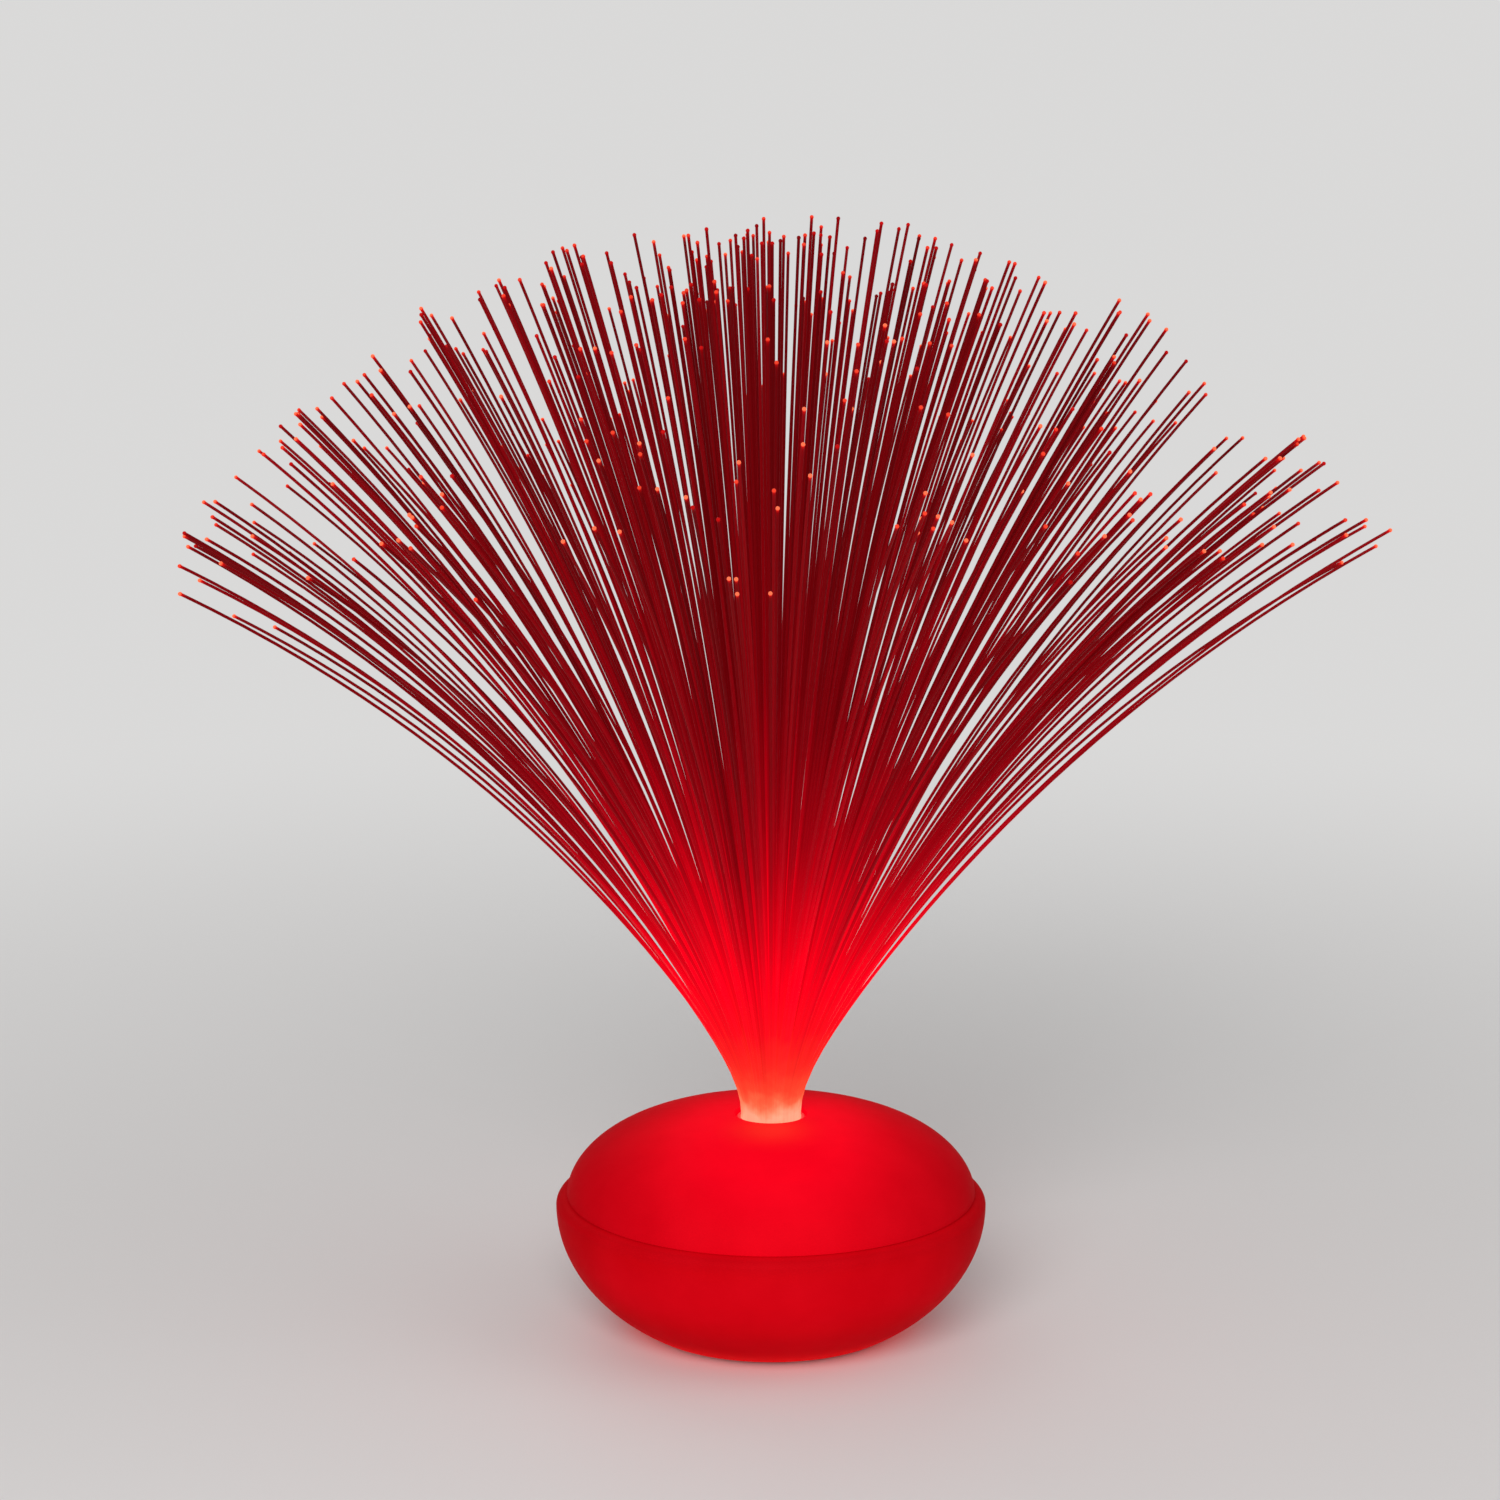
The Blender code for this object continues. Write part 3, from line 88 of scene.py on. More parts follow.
# Frosted shells
BASE_RADIUS = 0.0600
FOOT_RADIUS = 0.0360
FOOT_RISE = 0.0012
BOWL_DEPTH = 0.0344
SHOULDER_WIDTH = 0.0030
SHOULDER_HEIGHT = 0.0026
DOME_HEIGHT = 0.0228
DOME_CROWN_EXPONENT = 2.9
DOME_EDGE_EXPONENT = 1.8
SHELL_WALL = 0.0020
RIM_WALL = 0.0018
RIM_LIP = 0.0016
TONGUE_WALL = 0.0014
TONGUE_DEPTH = 0.0025
FOOT_WALL = 0.0020
LEDGE_Z = 0.0042
LEDGE_WIDTH = 0.0016
LEDGE_TOP = 0.0058
FIT_GAP = 0.0003
HOLE_RADIUS = 0.00995
BOSS_CIRCLE = 0.0302
BOSS_ANGLE = math.radians(21)
BOSS_RADIUS = 0.0030
BOSS_TOP = 0.0132
PILOT_RADIUS = 0.0014
PILOT_TOP = 0.01095
BOSS_RIB_TOP = 0.0084
BOSS_RIB_WIDTH = 0.0014
BOSS_RIB_START_SHARE = 1.4
AXIS_RADIUS = 0.00001
HOLE_ROUND = 0.00045
HOLE_INNER_ROUND = 0.0003
DOME_EDGE_ROUND = 0.00018
RIM_ROUND = 0.0003
FOOT_ROUND = 0.0007
FOOT_INNER_ROUND = 0.0004
BOSS_ROUND = 0.0004
SHELL_STEPS = 160
CURVE_POINTS = 56
SHOULDER_POINTS = 18
BOSS_STEPS = 28
ROUND_POINTS = 6
SHELL_SHARP_ANGLE = math.radians(50)

WIDEST_Z = FOOT_RISE + BOWL_DEPTH
RIM_Z = WIDEST_Z + SHOULDER_HEIGHT
RIM_RADIUS = BASE_RADIUS - SHOULDER_WIDTH
RIM_INNER_RADIUS = RIM_RADIUS - RIM_WALL
TONGUE_RADIUS = RIM_INNER_RADIUS - FIT_GAP
DOME_INNER_RADIUS = TONGUE_RADIUS - TONGUE_WALL
DOME_Z = RIM_Z + FIT_GAP
FOOT_ANGLE = math.acos(FOOT_RADIUS / BASE_RADIUS)
BOWL_HALF_HEIGHT = BOWL_DEPTH / math.sin(FOOT_ANGLE)

# Fiber spray
FIBER_RADIUS = 0.00042
FIBER_PITCH = 0.00084
FIBER_LENGTH = 0.2492
FIBER_SIDES = 7
TIP_RADIUS = 0.00056
TIP_GLOW_REACH = 0.0006
BEAD_ANGLES = (-62, -38, -12, 16, 44, 70)
BEAD_NECK_SHARE = 1.25
SIDE_TILT = 0.02
SHEAF_COUNT = 7
RING_COUNT = 9
SHEAF_SPREAD = 0.00038
SHEAF_GAP = 0.0003
SHEAF_STEPS = 14
BUNDLE_RADIUS = 0.00845
SHEAF_PROUD = 0.0012
LARGEST_LEAN = math.radians(68)
LEAN_EXPONENT = 1.18
DEPTH_LEAN_SHARE = 0.76
ROOT_BEND_SHARE = 0.455
STRAY_BEND_SHARE = 0.51
STRAY_SHARE = 0.35
ROOT_REACH_SHARE = 0.040
CLUMP_COUNT = 12
CLUMP_PULL_SHARE = 0.52
CLUMP_TRIM_SHARE = 0.6
TRIM_SHARE = 0.06
OUTER_TRIM_SHARE = 0.08
SHORT_SHARE = 0.09
SHORT_TRIM_SHARE = 0.12
TIP_LIGHT_SHARES = (0.16, 0.42, 0.72, 1.0)
LEAN_JITTER_SHARE = 0.30
TURN_JITTER_SHARE = 0.25
CURVE_STEPS = 200
ROUTE_POINTS = 30
ROUTE_EXPONENT = 1.25
TIP_RING_STEPS = (196, 198)
SPRAY_SEED = 30
LOOK_SEED = 8
CLUMP_SHADE_SHARES = (0.72, 1.18)
FIBER_SHADE_SHARES = (0.78, 1.22)
POTTING_SHADE_SHARE = 0.9
FILLER_COUNT = 17
BORDER_COUNT = 9
FILLER_PLACE_SHARES = (0.35, 0.65)
FILLER_LENGTH_SHARES = (0.93, 1.0)
FILLER_SHADE_SHARES = (0.7, 1.0)
STRAND_FOOT = 0.0024
BOX_MARGIN = 0.0002
BOX_TRIM_SHARE = 0.9975
STRIP_FILL_SHARE = 0.9
STRIP_MARGIN_SHARE = 0.05
POTTING_MAP_SCALE = 50
FIBER_SHARP_ANGLE = math.radians(60)

# Nodes that keep their CAD meshes
WELD_DISTANCE = 0.000002
CAD_SHARP_ANGLE = math.radians(38)
FLAT_ANGLE = math.radians(1)
PLASTIC_ROUND = 0.00015
SWITCH_ROUND = 0.00012
RUBBER_ROUND = 0.0002
CELL_ROUND = 0.0001
CAPACITOR_ROUND = 0.0002
CELL_JACKET_HALF = 0.0245
LENS_RADIUS = 0.0022
SLEEVE_FOOT_Z = 0.036
SLEEVE_TOP_Z = 0.062

SHEAF_ANGLE = math.tau / SHEAF_COUNT
FERRULE_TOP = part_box("ferrule")[1].z
SHEAF_TOP = FERRULE_TOP + SHEAF_PROUD
POTTING_FOOT_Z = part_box("fiber_sheaf_1")[0].z


def mesh_object(name, points, faces, material):
    mesh = bpy.data.meshes.new(name)
    mesh.from_pydata(np.asarray(points, float).tolist(), [], [tuple(map(int, face)) for face in faces])
    mesh.shade_smooth()
    mesh.materials.append(material)
    obj = bpy.data.objects.new(name, mesh)
    bpy.context.scene.collection.objects.link(obj)
    return obj


# Materials


def add(tree, kind, inputs=None, **settings):
    """New shader node. An input given as a socket is linked, and a plain value is set."""
    node = tree.nodes.new("ShaderNode" + kind)
    for name, value in settings.items():
        setattr(node, name, value)
    for key, value in (inputs or {}).items():
        if isinstance(value, bpy.types.NodeSocket):
            tree.links.new(value, node.inputs[key])
        else:
            node.inputs[key].default_value = value
    return node


def ramp(tree, factor, stops):
    """Colour ramp with (position, colour) stops."""
    node = add(tree, "ValToRGB", {"Fac": factor})
    elements = node.color_ramp.elements
    while len(elements) < len(stops):
        elements.new(1)
    for element, (position, color) in zip(elements, stops):
        element.position = position
        element.color = (*color, 1)
    return node.outputs["Color"]


def grey(stops):
    return [(position, (value, value, value)) for position, value in stops]


def new_material(name, roughness, metallic=0.0, specular=0.5):
    """Principled material, and its tree and shader."""
    material = bpy.data.materials.new(name)
    material.use_nodes = True
    tree = material.node_tree
    shader = tree.nodes["Principled BSDF"]
    shader.inputs["Roughness"].default_value = roughness
    shader.inputs["Metallic"].default_value = metallic
    shader.inputs["Specular IOR Level"].default_value = specular
    return material, tree, shader


def object_place(tree):
    return add(tree, "TexCoord").outputs["Object"]


def noise(tree, place, scale, detail=2.0, roughness=0.5):
    inputs = {"Vector": place, "Scale": scale, "Detail": detail, "Roughness": roughness}
    return add(tree, "TexNoise", inputs).outputs["Fac"]


def math_node(tree, operation, first, second=0.0, third=0.0, clamp=False):
    node = add(tree, "Math", {0: first, 1: second, 2: third}, operation=operation)
    node.use_clamp = clamp
    return node.outputs[0]


def spread(tree, value, low, high):
    """Value's place between two levels, from 0 to 1."""
    inputs = {"Value": value, "From Min": low, "From Max": high}
    return add(tree, "MapRange", inputs).outputs["Result"]


def mixed(tree, factor, first, second, kind="MIX"):
    """Mix of two colours. The colour sockets of a Mix node are its seventh and eighth."""
    node = tree.nodes.new("ShaderNodeMix")
    node.data_type = "RGBA"
    node.blend_type = kind
    for place, value in ((0, factor), (6, first), (7, second)):
        socket = node.inputs[place]
        if isinstance(value, bpy.types.NodeSocket):
            tree.links.new(value, socket)
        else:
            socket.default_value = value if place == 0 else (*value, 1)
    return node.outputs[2]


def bump(tree, shader, height, distance, strength):
    node = add(tree, "Bump", {"Height": height, "Distance": distance, "Strength": strength})
    tree.links.new(node.outputs["Normal"], shader.inputs["Normal"])


def rough_by(tree, shader, value, low, high):
    """Roughness that wanders between two levels."""
    node = add(tree, "MapRange", {"Value": value, "To Min": low, "To Max": high})
    tree.links.new(node.outputs["Result"], shader.inputs["Roughness"])


def axis_radius(tree, place):
    """Distance from the lamp's axis."""
    flat = add(tree, "VectorMath", {0: place, 1: (1, 1, 0)}, operation="MULTIPLY")
    return add(tree, "VectorMath", {0: flat.outputs[0]}, operation="LENGTH").outputs["Value"]


def patch_distance(tree, place):
    """Distance from the middle of the brightest patch, as a share of its reach. Depth counts less."""
    moved = add(tree, "VectorMath", {0: place, 1: (0, PATCH_PLACE, 0)}, operation="ADD").outputs[0]
    flat = add(tree, "VectorMath", {0: moved, 1: (1, PATCH_DEPTH_SHARE, 0)}, operation="MULTIPLY")
    away = add(tree, "VectorMath", {0: flat.outputs[0]}, operation="LENGTH").outputs["Value"]
    return spread(tree, away, 0.0, PATCH_REACH)


def height_of(tree, place):
    return add(tree, "SeparateXYZ", {0: place}).outputs["Z"]


def frosted(name, glow_of):
    """Frosted plastic that glows from inside, with a red base colour that is painted light. glow_of gives
    the light's colour over the shell.
    """
    material, tree, shader = new_material(name, 0.52, specular=0.004)
    place = object_place(tree)
    cloud = noise(tree, place, 55, 3)
    # Painted light: the whitish frosted plastic gets a red base colour for the red light that fills the
    # shell
    base = ramp(tree, cloud, [(0.3, (0.44, 0.001, 0.004)), (0.7, (0.50, 0.002, 0.006))])
    tree.links.new(base, shader.inputs["Base Color"])
    glow = glow_of(tree, place)
    mottle = ramp(tree, noise(tree, place, 140, 4, 0.6), grey([(0.25, 0.93), (0.75, 1.0)]))
    tree.links.new(mixed(tree, 1.0, glow, mottle, "MULTIPLY"), shader.inputs["Emission Color"])
    shader.inputs["Emission Strength"].default_value = 1.0
    rough_by(tree, shader, noise(tree, place, 420, 2), 0.46, 0.60)
    grain = noise(tree, place, 2600, 3, 0.6)
    bump(tree, shader, grain, 0.00002, 0.5)
    return material


def dome_glow(tree, place):
    """Even over the brightest patch and fading outwards, with a painted highlight, a paler spot of light,
    in front of the fiber hole.
    """
    patch = [
        (0.00, (0.53, 0.000, 0.008)),
        (0.24, (0.53, 0.000, 0.008)),
        (0.31, (0.45, 0.000, 0.007)),
        (0.37, (0.36, 0.000, 0.005)),
        (0.42, (0.29, 0.000, 0.004)),
        (0.48, (0.21, 0.000, 0.003)),
        (0.59, (0.13, 0.000, 0.002)),
        (0.70, (0.075, 0.000, 0.001)),
        (0.95, (0.050, 0.000, 0.001)),
    ]
    # Painted highlight: pale light added to the glow just in front of the fiber hole
    highlight = [
        (0.00, (0.03, 0.020, 0.004)),
        (0.20, (0.02, 0.017, 0.003)),
        (0.40, (0.01, 0.008, 0.001)),
        (0.60, (0.00, 0.002, 0.000)),
        (0.80, (0.00, 0.000, 0.000)),
    ]
    ahead = add(tree, "VectorMath", {0: place, 1: (0, HIGHLIGHT_PLACE, 0)}, operation="ADD").outputs[0]
    across = spread(tree, axis_radius(tree, ahead), 0.0, HIGHLIGHT_REACH)
    return mixed(tree, 1.0, ramp(tree, patch_distance(tree, place), patch), ramp(tree, across, highlight), "ADD")


def bowl_glow(tree, place):
    """Dim under the seam, even round the middle and fading towards the foot, whose edge is lit."""
    up = spread(tree, height_of(tree, place), 0.0, 0.040)
    levels = [
        (0.060, (0.36, 0.004, 0.005)),
        (0.100, (0.27, 0.002, 0.003)),
        (0.140, (0.18, 0.000, 0.001)),
        (0.190, (0.13, 0.000, 0.001)),
        (0.290, (0.125, 0.000, 0.001)),
        (0.400, (0.17, 0.000, 0.001)),
        (0.500, (0.20, 0.000, 0.002)),
        (0.620, (0.21, 0.000, 0.002)),
        (0.740, (0.19, 0.000, 0.002)),
        (0.840, (0.16, 0.000, 0.001)),
        (0.900, (0.11, 0.000, 0.001)),
        (0.940, (0.10, 0.000, 0.001)),
        (0.955, (0.20, 0.000, 0.002)),
    ]
    around = [(0.40, 1.0), (0.56, 0.86), (0.68, 0.42), (0.78, 0.30), (1.0, 0.30)]
    fade = ramp(tree, patch_distance(tree, place), grey(around))
    return mixed(tree, 1.0, ramp(tree, up, levels), fade, "MULTIPLY")


def optical_fiber():
    """Clear fibers full of red light: white-hot at the root, deep red above and lit at their tips."""
    material, tree, shader = new_material("optical_fiber_lit", 0.30, specular=0.03)
    along = add(tree, "Attribute", attribute_name="along").outputs["Fac"]
    own_shade = add(tree, "Attribute", attribute_name="shade").outputs["Fac"]
    tip = add(tree, "Attribute", attribute_name="tip").outputs["Fac"]
    place = object_place(tree)
    above_root = ramp(tree, along, grey([(0.02, 0.20), (0.32, 1.0)]))
    shade = mixed(tree, above_root, (0.95, 0.95, 0.95), shade_color(tree, own_shade))
    # Painted light: the clear fibers get a red base colour, orange at the root, for the light inside them
    base = [
        (0.00, (0.24, 0.02, 0.01)),
        (0.08, (0.24, 0.001, 0.004)),
        (0.40, (0.16, 0.001, 0.003)),
        (1.00, (0.12, 0.001, 0.002)),
    ]
    base_color = mixed(tree, 1.0, ramp(tree, along, base), shade, "MULTIPLY")
    tree.links.new(base_color, shader.inputs["Base Color"])
    wander = math_node(tree, "MULTIPLY_ADD", noise(tree, place, 240, 2), 0.03, -0.015)
    light = [
        (0.000, (0.92, 0.40, 0.25)),
        (0.010, (0.92, 0.27, 0.14)),
        (0.020, (0.92, 0.125, 0.052)),
        (0.034, (0.90, 0.058, 0.025)),
        (0.060, (0.86, 0.022, 0.015)),
        (0.110, (0.88, 0.004, 0.011)),
        (0.170, (0.89, 0.000, 0.010)),
        (0.240, (0.61, 0.000, 0.007)),
        (0.340, (0.29, 0.000, 0.004)),
        (0.480, (0.14, 0.000, 0.002)),
        (0.700, (0.095, 0.000, 0.001)),
        (1.000, (0.075, 0.000, 0.001)),
    ]
    left = math_node(tree, "SUBTRACT", 1.0, along, clamp=True)
    near = math_node(tree, "MULTIPLY_ADD", wander, left, along)
    glow = mixed(tree, 1.0, ramp(tree, near, light), shade, "MULTIPLY")
    tip_light = [
        (0.0, (0, 0, 0)),
        (0.15, (0.08, 0, 0)),
        (0.5, (0.50, 0.004, 0.002)),
        (0.85, (0.95, 0.09, 0.035)),
        (1.0, (1.0, 0.20, 0.085)),
    ]
    tip_glow = ramp(tree, tip, tip_light)
    tree.links.new(mixed(tree, 1.0, glow, tip_glow, "ADD"), shader.inputs["Emission Color"])
    shader.inputs["Emission Strength"].default_value = 1.0
    rough_by(tree, shader, noise(tree, place, 500, 2), 0.24, 0.38)
    return material


def shade_color(tree, shade):
    return add(tree, "CombineColor", {0: shade, 1: shade, 2: shade}).outputs[0]


def lit_sleeve():
    """White sleeve plastic, lit red by the light source inside it."""
    material, tree, shader = new_material("sleeve_plastic_lit", 0.42, specular=0.3)
    place = object_place(tree)
    cloud = noise(tree, place, 160, 3)
    # Painted light: the white plastic gets a red base colour for the red light inside it
    base = ramp(tree, cloud, [(0.3, (0.50, 0.010, 0.012)), (0.7, (0.56, 0.016, 0.016))])
    tree.links.new(base, shader.inputs["Base Color"])
    up = spread(tree, height_of(tree, place), SLEEVE_FOOT_Z, SLEEVE_TOP_Z)
    light = [(0.0, (0.55, 0.03, 0.03)), (0.7, (0.28, 0.004, 0.008)), (1.0, (0.56, 0.012, 0.014))]
    tree.links.new(ramp(tree, up, light), shader.inputs["Emission Color"])
    shader.inputs["Emission Strength"].default_value = 0.8
    bump(tree, shader, noise(tree, place, 1800, 3), 0.00001, 0.5)
    return material


def moulded(name, low, high, roughness, grain_scale, grain_depth, speck=None):
    """Moulded plastic or rubber with a fine eroded grain, a slow change of shade and faint specks."""
    material, tree, shader = new_material(name, roughness, specular=0.4)
    place = object_place(tree)
    color = ramp(tree, noise(tree, place, 70, 4), [(0.3, low), (0.7, high)])
    if speck:
        dots = ramp(tree, noise(tree, place, 1500, 1), grey([(0.68, 0.0), (0.74, 1.0)]))
        color = mixed(tree, dots, color, speck)
    tree.links.new(color, shader.inputs["Base Color"])
    grain = noise(tree, place, grain_scale, 4, 0.65)
    rough_by(tree, shader, grain, roughness - 0.07, roughness + 0.09)
    bump(tree, shader, grain, grain_depth, 0.7)
    return material


def metal(name, low, high, roughness, stretch):
    """Metal with brushing along one axis and faint tarnish."""
    material, tree, shader = new_material(name, roughness, metallic=1.0)
    place = object_place(tree)
    tarnish = ramp(tree, noise(tree, place, 400, 4, 0.6), [(0.35, low), (0.65, high)])
    tree.links.new(tarnish, shader.inputs["Base Color"])
    along = add(tree, "VectorMath", {0: place, 1: stretch}, operation="MULTIPLY").outputs[0]
    lines = noise(tree, along, 1.0, 3, 0.6)
    rough_by(tree, shader, lines, roughness - 0.08, roughness + 0.12)
    bump(tree, shader, lines, 0.00001, 0.5)
    return material


def cell_jacket(name, way):
    """Printed film on a cell: dark, with a bright band at the positive end and bare metal ends."""
    material, tree, shader = new_material(name, 0.3, specular=0.5)
    place = object_place(tree)
    parts = add(tree, "SeparateXYZ", {0: place}).outputs
    toward = math_node(tree, "MULTIPLY", parts["Y"], way)
    share = spread(tree, toward, -CELL_JACKET_HALF, CELL_JACKET_HALF)
    film = ramp(
        tree,
        share,
        [
            (0.0, (0.62, 0.60, 0.57)),
            (0.085, (0.62, 0.60, 0.57)),
            (0.09, (0.030, 0.036, 0.050)),
            (0.74, (0.036, 0.043, 0.060)),
            (0.745, (0.80, 0.78, 0.74)),
            (0.76, (0.62, 0.27, 0.06)),
            (0.925, (0.66, 0.30, 0.08)),
            (0.93, (0.62, 0.60, 0.57)),
        ],
    )
    cloud = ramp(tree, noise(tree, place, 500, 3), grey([(0.3, 0.93), (0.7, 1.0)]))
    tree.links.new(mixed(tree, 1.0, film, cloud, "MULTIPLY"), shader.inputs["Base Color"])
    bare = ramp(tree, share, grey([(0.0, 1.0), (0.085, 1.0), (0.09, 0.25), (0.925, 0.25), (0.93, 1.0)]))
    tree.links.new(bare, shader.inputs["Metallic"])
    rough_by(tree, shader, noise(tree, place, 900, 2), 0.24, 0.38)
    return material


def circuit_board():
    """Green solder mask over copper tracks, mottled by the glass cloth under it."""
    material, tree, shader = new_material("board_mask", 0.35, specular=0.5)
    place = object_place(tree)
    wide = add(tree, "VectorMath", {0: place, 1: (520, 520, 520)}, operation="MULTIPLY").outputs[0]
    cells = add(tree, "TexVoronoi", {"Vector": wide, "Scale": 1.0}, distance="MANHATTAN", feature="F2")
    tracks = ramp(tree, cells.outputs["Distance"], grey([(0.78, 0.0), (0.82, 1.0)]))
    mask = mixed(tree, tracks, (0.010, 0.090, 0.040), (0.020, 0.170, 0.070))
    cloth = ramp(tree, noise(tree, place, 1400, 2), grey([(0.3, 0.85), (0.7, 1.0)]))
    tree.links.new(mixed(tree, 1.0, mask, cloth, "MULTIPLY"), shader.inputs["Base Color"])
    bump(tree, shader, tracks, 0.00003, 0.6)
    return material


def banded(name, body, end, axis, middle, half, scale):
    """Part with a body of one colour and soldered or bare ends of another along an axis."""
    material, tree, shader = new_material(name, 0.38, specular=0.5)
    place = object_place(tree)
    along = add(tree, "SeparateXYZ", {0: place}).outputs[axis]
    away = math_node(tree, "ABSOLUTE", math_node(tree, "SUBTRACT", along, middle))
    edge = ramp(tree, spread(tree, away, 0.0, half * 2), grey([(0.48, 0.0), (0.5, 1.0)]))
    cloud = ramp(tree, noise(tree, place, scale, 3), grey([(0.3, 0.85), (0.7, 1.0)]))
    color = mixed(tree, 1.0, mixed(tree, edge, body, end), cloud, "MULTIPLY")
    tree.links.new(color, shader.inputs["Base Color"])
    tree.links.new(edge, shader.inputs["Metallic"])
    bump(tree, shader, noise(tree, place, 2200, 3), 0.00001, 0.6)
    return material


def lens():
    """Clear dome of the light source, full of red light."""
    material, tree, shader = new_material("led_lens_lit", 0.08, specular=0.5)
    place = object_place(tree)
    across = spread(tree, axis_radius(tree, place), 0.0, LENS_RADIUS)
    light = [(0.0, (1.0, 0.55, 0.42)), (0.5, (1.0, 0.16, 0.10)), (1.0, (0.75, 0.02, 0.02))]
    tree.links.new(ramp(tree, across, light), shader.inputs["Emission Color"])
    shader.inputs["Emission Strength"].default_value = 1.0
    # Painted light: the clear lens gets a red base colour for the red light inside it
    cloud = ramp(tree, noise(tree, place, 900, 2), [(0.3, (0.55, 0.05, 0.04)), (0.7, (0.65, 0.08, 0.06))])
    tree.links.new(cloud, shader.inputs["Base Color"])
    return material


# Shells


def arc(centre, width, height, start, stop, count, exponents=(2.0, 2.0)):
    """Points of an ellipse between two angles. Larger exponents make its crown flatter, its side fuller."""
    angle = np.linspace(start, stop, count)
    across = np.abs(np.cos(angle)) ** (2 / exponents[0])
    up = np.sign(np.sin(angle)) * np.abs(np.sin(angle)) ** (2 / exponents[1])
    return np.stack([centre[0] + width * across, centre[1] + height * up], axis=1).tolist()


def dome_arc(radius, height, count):
    hole_angle = math.acos((HOLE_RADIUS / radius) ** (DOME_CROWN_EXPONENT / 2))
    exponents = (DOME_CROWN_EXPONENT, DOME_EDGE_EXPONENT)
    return arc((0, DOME_Z), radius, height, hole_angle, 0, count, exponents)


def rounded(profile, corners):
    """Closed profile with the named corners rounded: each is its point and how far the round reaches."""
    points = [np.array(point, float) for point in profile]
    for corner, reach in corners:
        distances = [np.linalg.norm(point - np.array(corner)) for point in points]
        index = int(np.argmin(distances))
        before, kept_before = walk(points, index, -1, reach)
        after, kept_after = walk(points, index, 1, reach)
        middle = points[index]
        bend = []
        for share in np.linspace(0, 1, ROUND_POINTS):
            bend.append(before * (1 - share) ** 2 + middle * 2 * share * (1 - share) + after * share**2)
        count = len(points)
        kept, step = [], kept_after % count
        while step != kept_before % count:
            kept.append(points[step])
            step = (step + 1) % count
        kept.append(points[kept_before % count])
        points = kept + bend
    return points


def walk(points, index, way, reach):
    """Point at a distance along a closed line from one of its points, and the first point beyond it."""
    place, left = index, reach
    while True:
        here, there = points[place % len(points)], points[(place + way) % len(points)]
        length = np.linalg.norm(there - here)
        if length > left:
            return here + (there - here) * left / length, place + way
        left -= length
        place += way


def turn_points(profile, steps, centre=(0, 0)):
    """Points and faces of a closed profile turned about an upright line."""
    profile = np.array(profile, float)
    angle = np.linspace(0, math.tau, steps, endpoint=False)
    x = centre[0] + np.outer(np.cos(angle), profile[:, 0])
    y = centre[1] + np.outer(np.sin(angle), profile[:, 0])
    z = np.tile(profile[:, 1], (steps, 1))
    points = np.stack([x, y, z], axis=2).reshape(-1, 3)
    count = len(profile)
    faces = []
    for row in range(steps):
        following = (row + 1) % steps
        here, there = row * count, following * count
        for column in range(count):
            side = (column + 1) % count
            faces.append((here + column, here + side, there + side, there + column))
    return points, faces


def join(parts):
    """One list of points and one of faces from several."""
    points, faces, first = [], [], 0
    for part_points, part_faces in parts:
        points.append(np.asarray(part_points, float))
        faces += [tuple(int(corner) + first for corner in face) for face in part_faces]
        first += len(part_points)
    return np.concatenate(points), faces


def face_out(obj):
    """Turns a shell's faces outwards and marks its sharp edges."""
    bm = bmesh.new()
    bm.from_mesh(obj.data)
    bmesh.ops.recalc_face_normals(bm, faces=bm.faces)
    bm.to_mesh(obj.data)
    bm.free()
    obj.data.set_sharp_from_angle(angle=SHELL_SHARP_ANGLE)


def upper_shell(material):
    """Dome with the fiber hole at its top and the tongue under its edge."""
    outside = dome_arc(RIM_RADIUS, DOME_HEIGHT, CURVE_POINTS)
    inside = dome_arc(DOME_INNER_RADIUS, DOME_HEIGHT - SHELL_WALL, CURVE_POINTS)
    tongue_z = DOME_Z - TONGUE_DEPTH
    tongue = [(TONGUE_RADIUS, DOME_Z), (TONGUE_RADIUS, tongue_z), (DOME_INNER_RADIUS, tongue_z)]
    profile = outside + tongue + inside[::-1]
    corners = [(outside[0], HOLE_ROUND), (outside[-1], DOME_EDGE_ROUND), (inside[0], HOLE_INNER_ROUND)]
    obj = mesh_object("dome", *turn_points(rounded(profile, corners), SHELL_STEPS), material)
    face_out(obj)
    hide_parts("upper_shell")
    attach(obj, "base")


def boss_rib(x, y):
    """Upright rib between a screw boss and the bowl's wall."""
    reach = BASE_RADIUS * math.sqrt(1 - ((WIDEST_Z - LEDGE_Z) / BOWL_HALF_HEIGHT) ** 2) - SHELL_WALL / 2
    low, high, half = BOSS_CIRCLE + PILOT_RADIUS * BOSS_RIB_START_SHARE, reach, BOSS_RIB_WIDTH / 2
    turn = Matrix.Rotation(math.atan2(y, x), 3, "Z")
    corners = []
    for level in (LEDGE_Z, BOSS_RIB_TOP):
        for u, v in ((low, -half), (high, -half), (high, half), (low, half)):
            corners.append(turn @ Vector((u, v, level)))
    faces = [(0, 3, 2, 1), (4, 5, 6, 7), (0, 1, 5, 4), (1, 2, 6, 5), (2, 3, 7, 6), (3, 0, 4, 7)]
    return corners, faces


def boss(x, y):
    """Screw boss with its blind pilot hole and rounded end."""
    profile = [(AXIS_RADIUS, BOSS_TOP), (BOSS_RADIUS, BOSS_TOP), (BOSS_RADIUS, LEDGE_Z)]
    profile += [(PILOT_RADIUS, LEDGE_Z), (PILOT_RADIUS, PILOT_TOP), (AXIS_RADIUS, PILOT_TOP)]
    corners = [(profile[1], BOSS_ROUND)]
    return turn_points(rounded(profile, corners), BOSS_STEPS, (x, y))


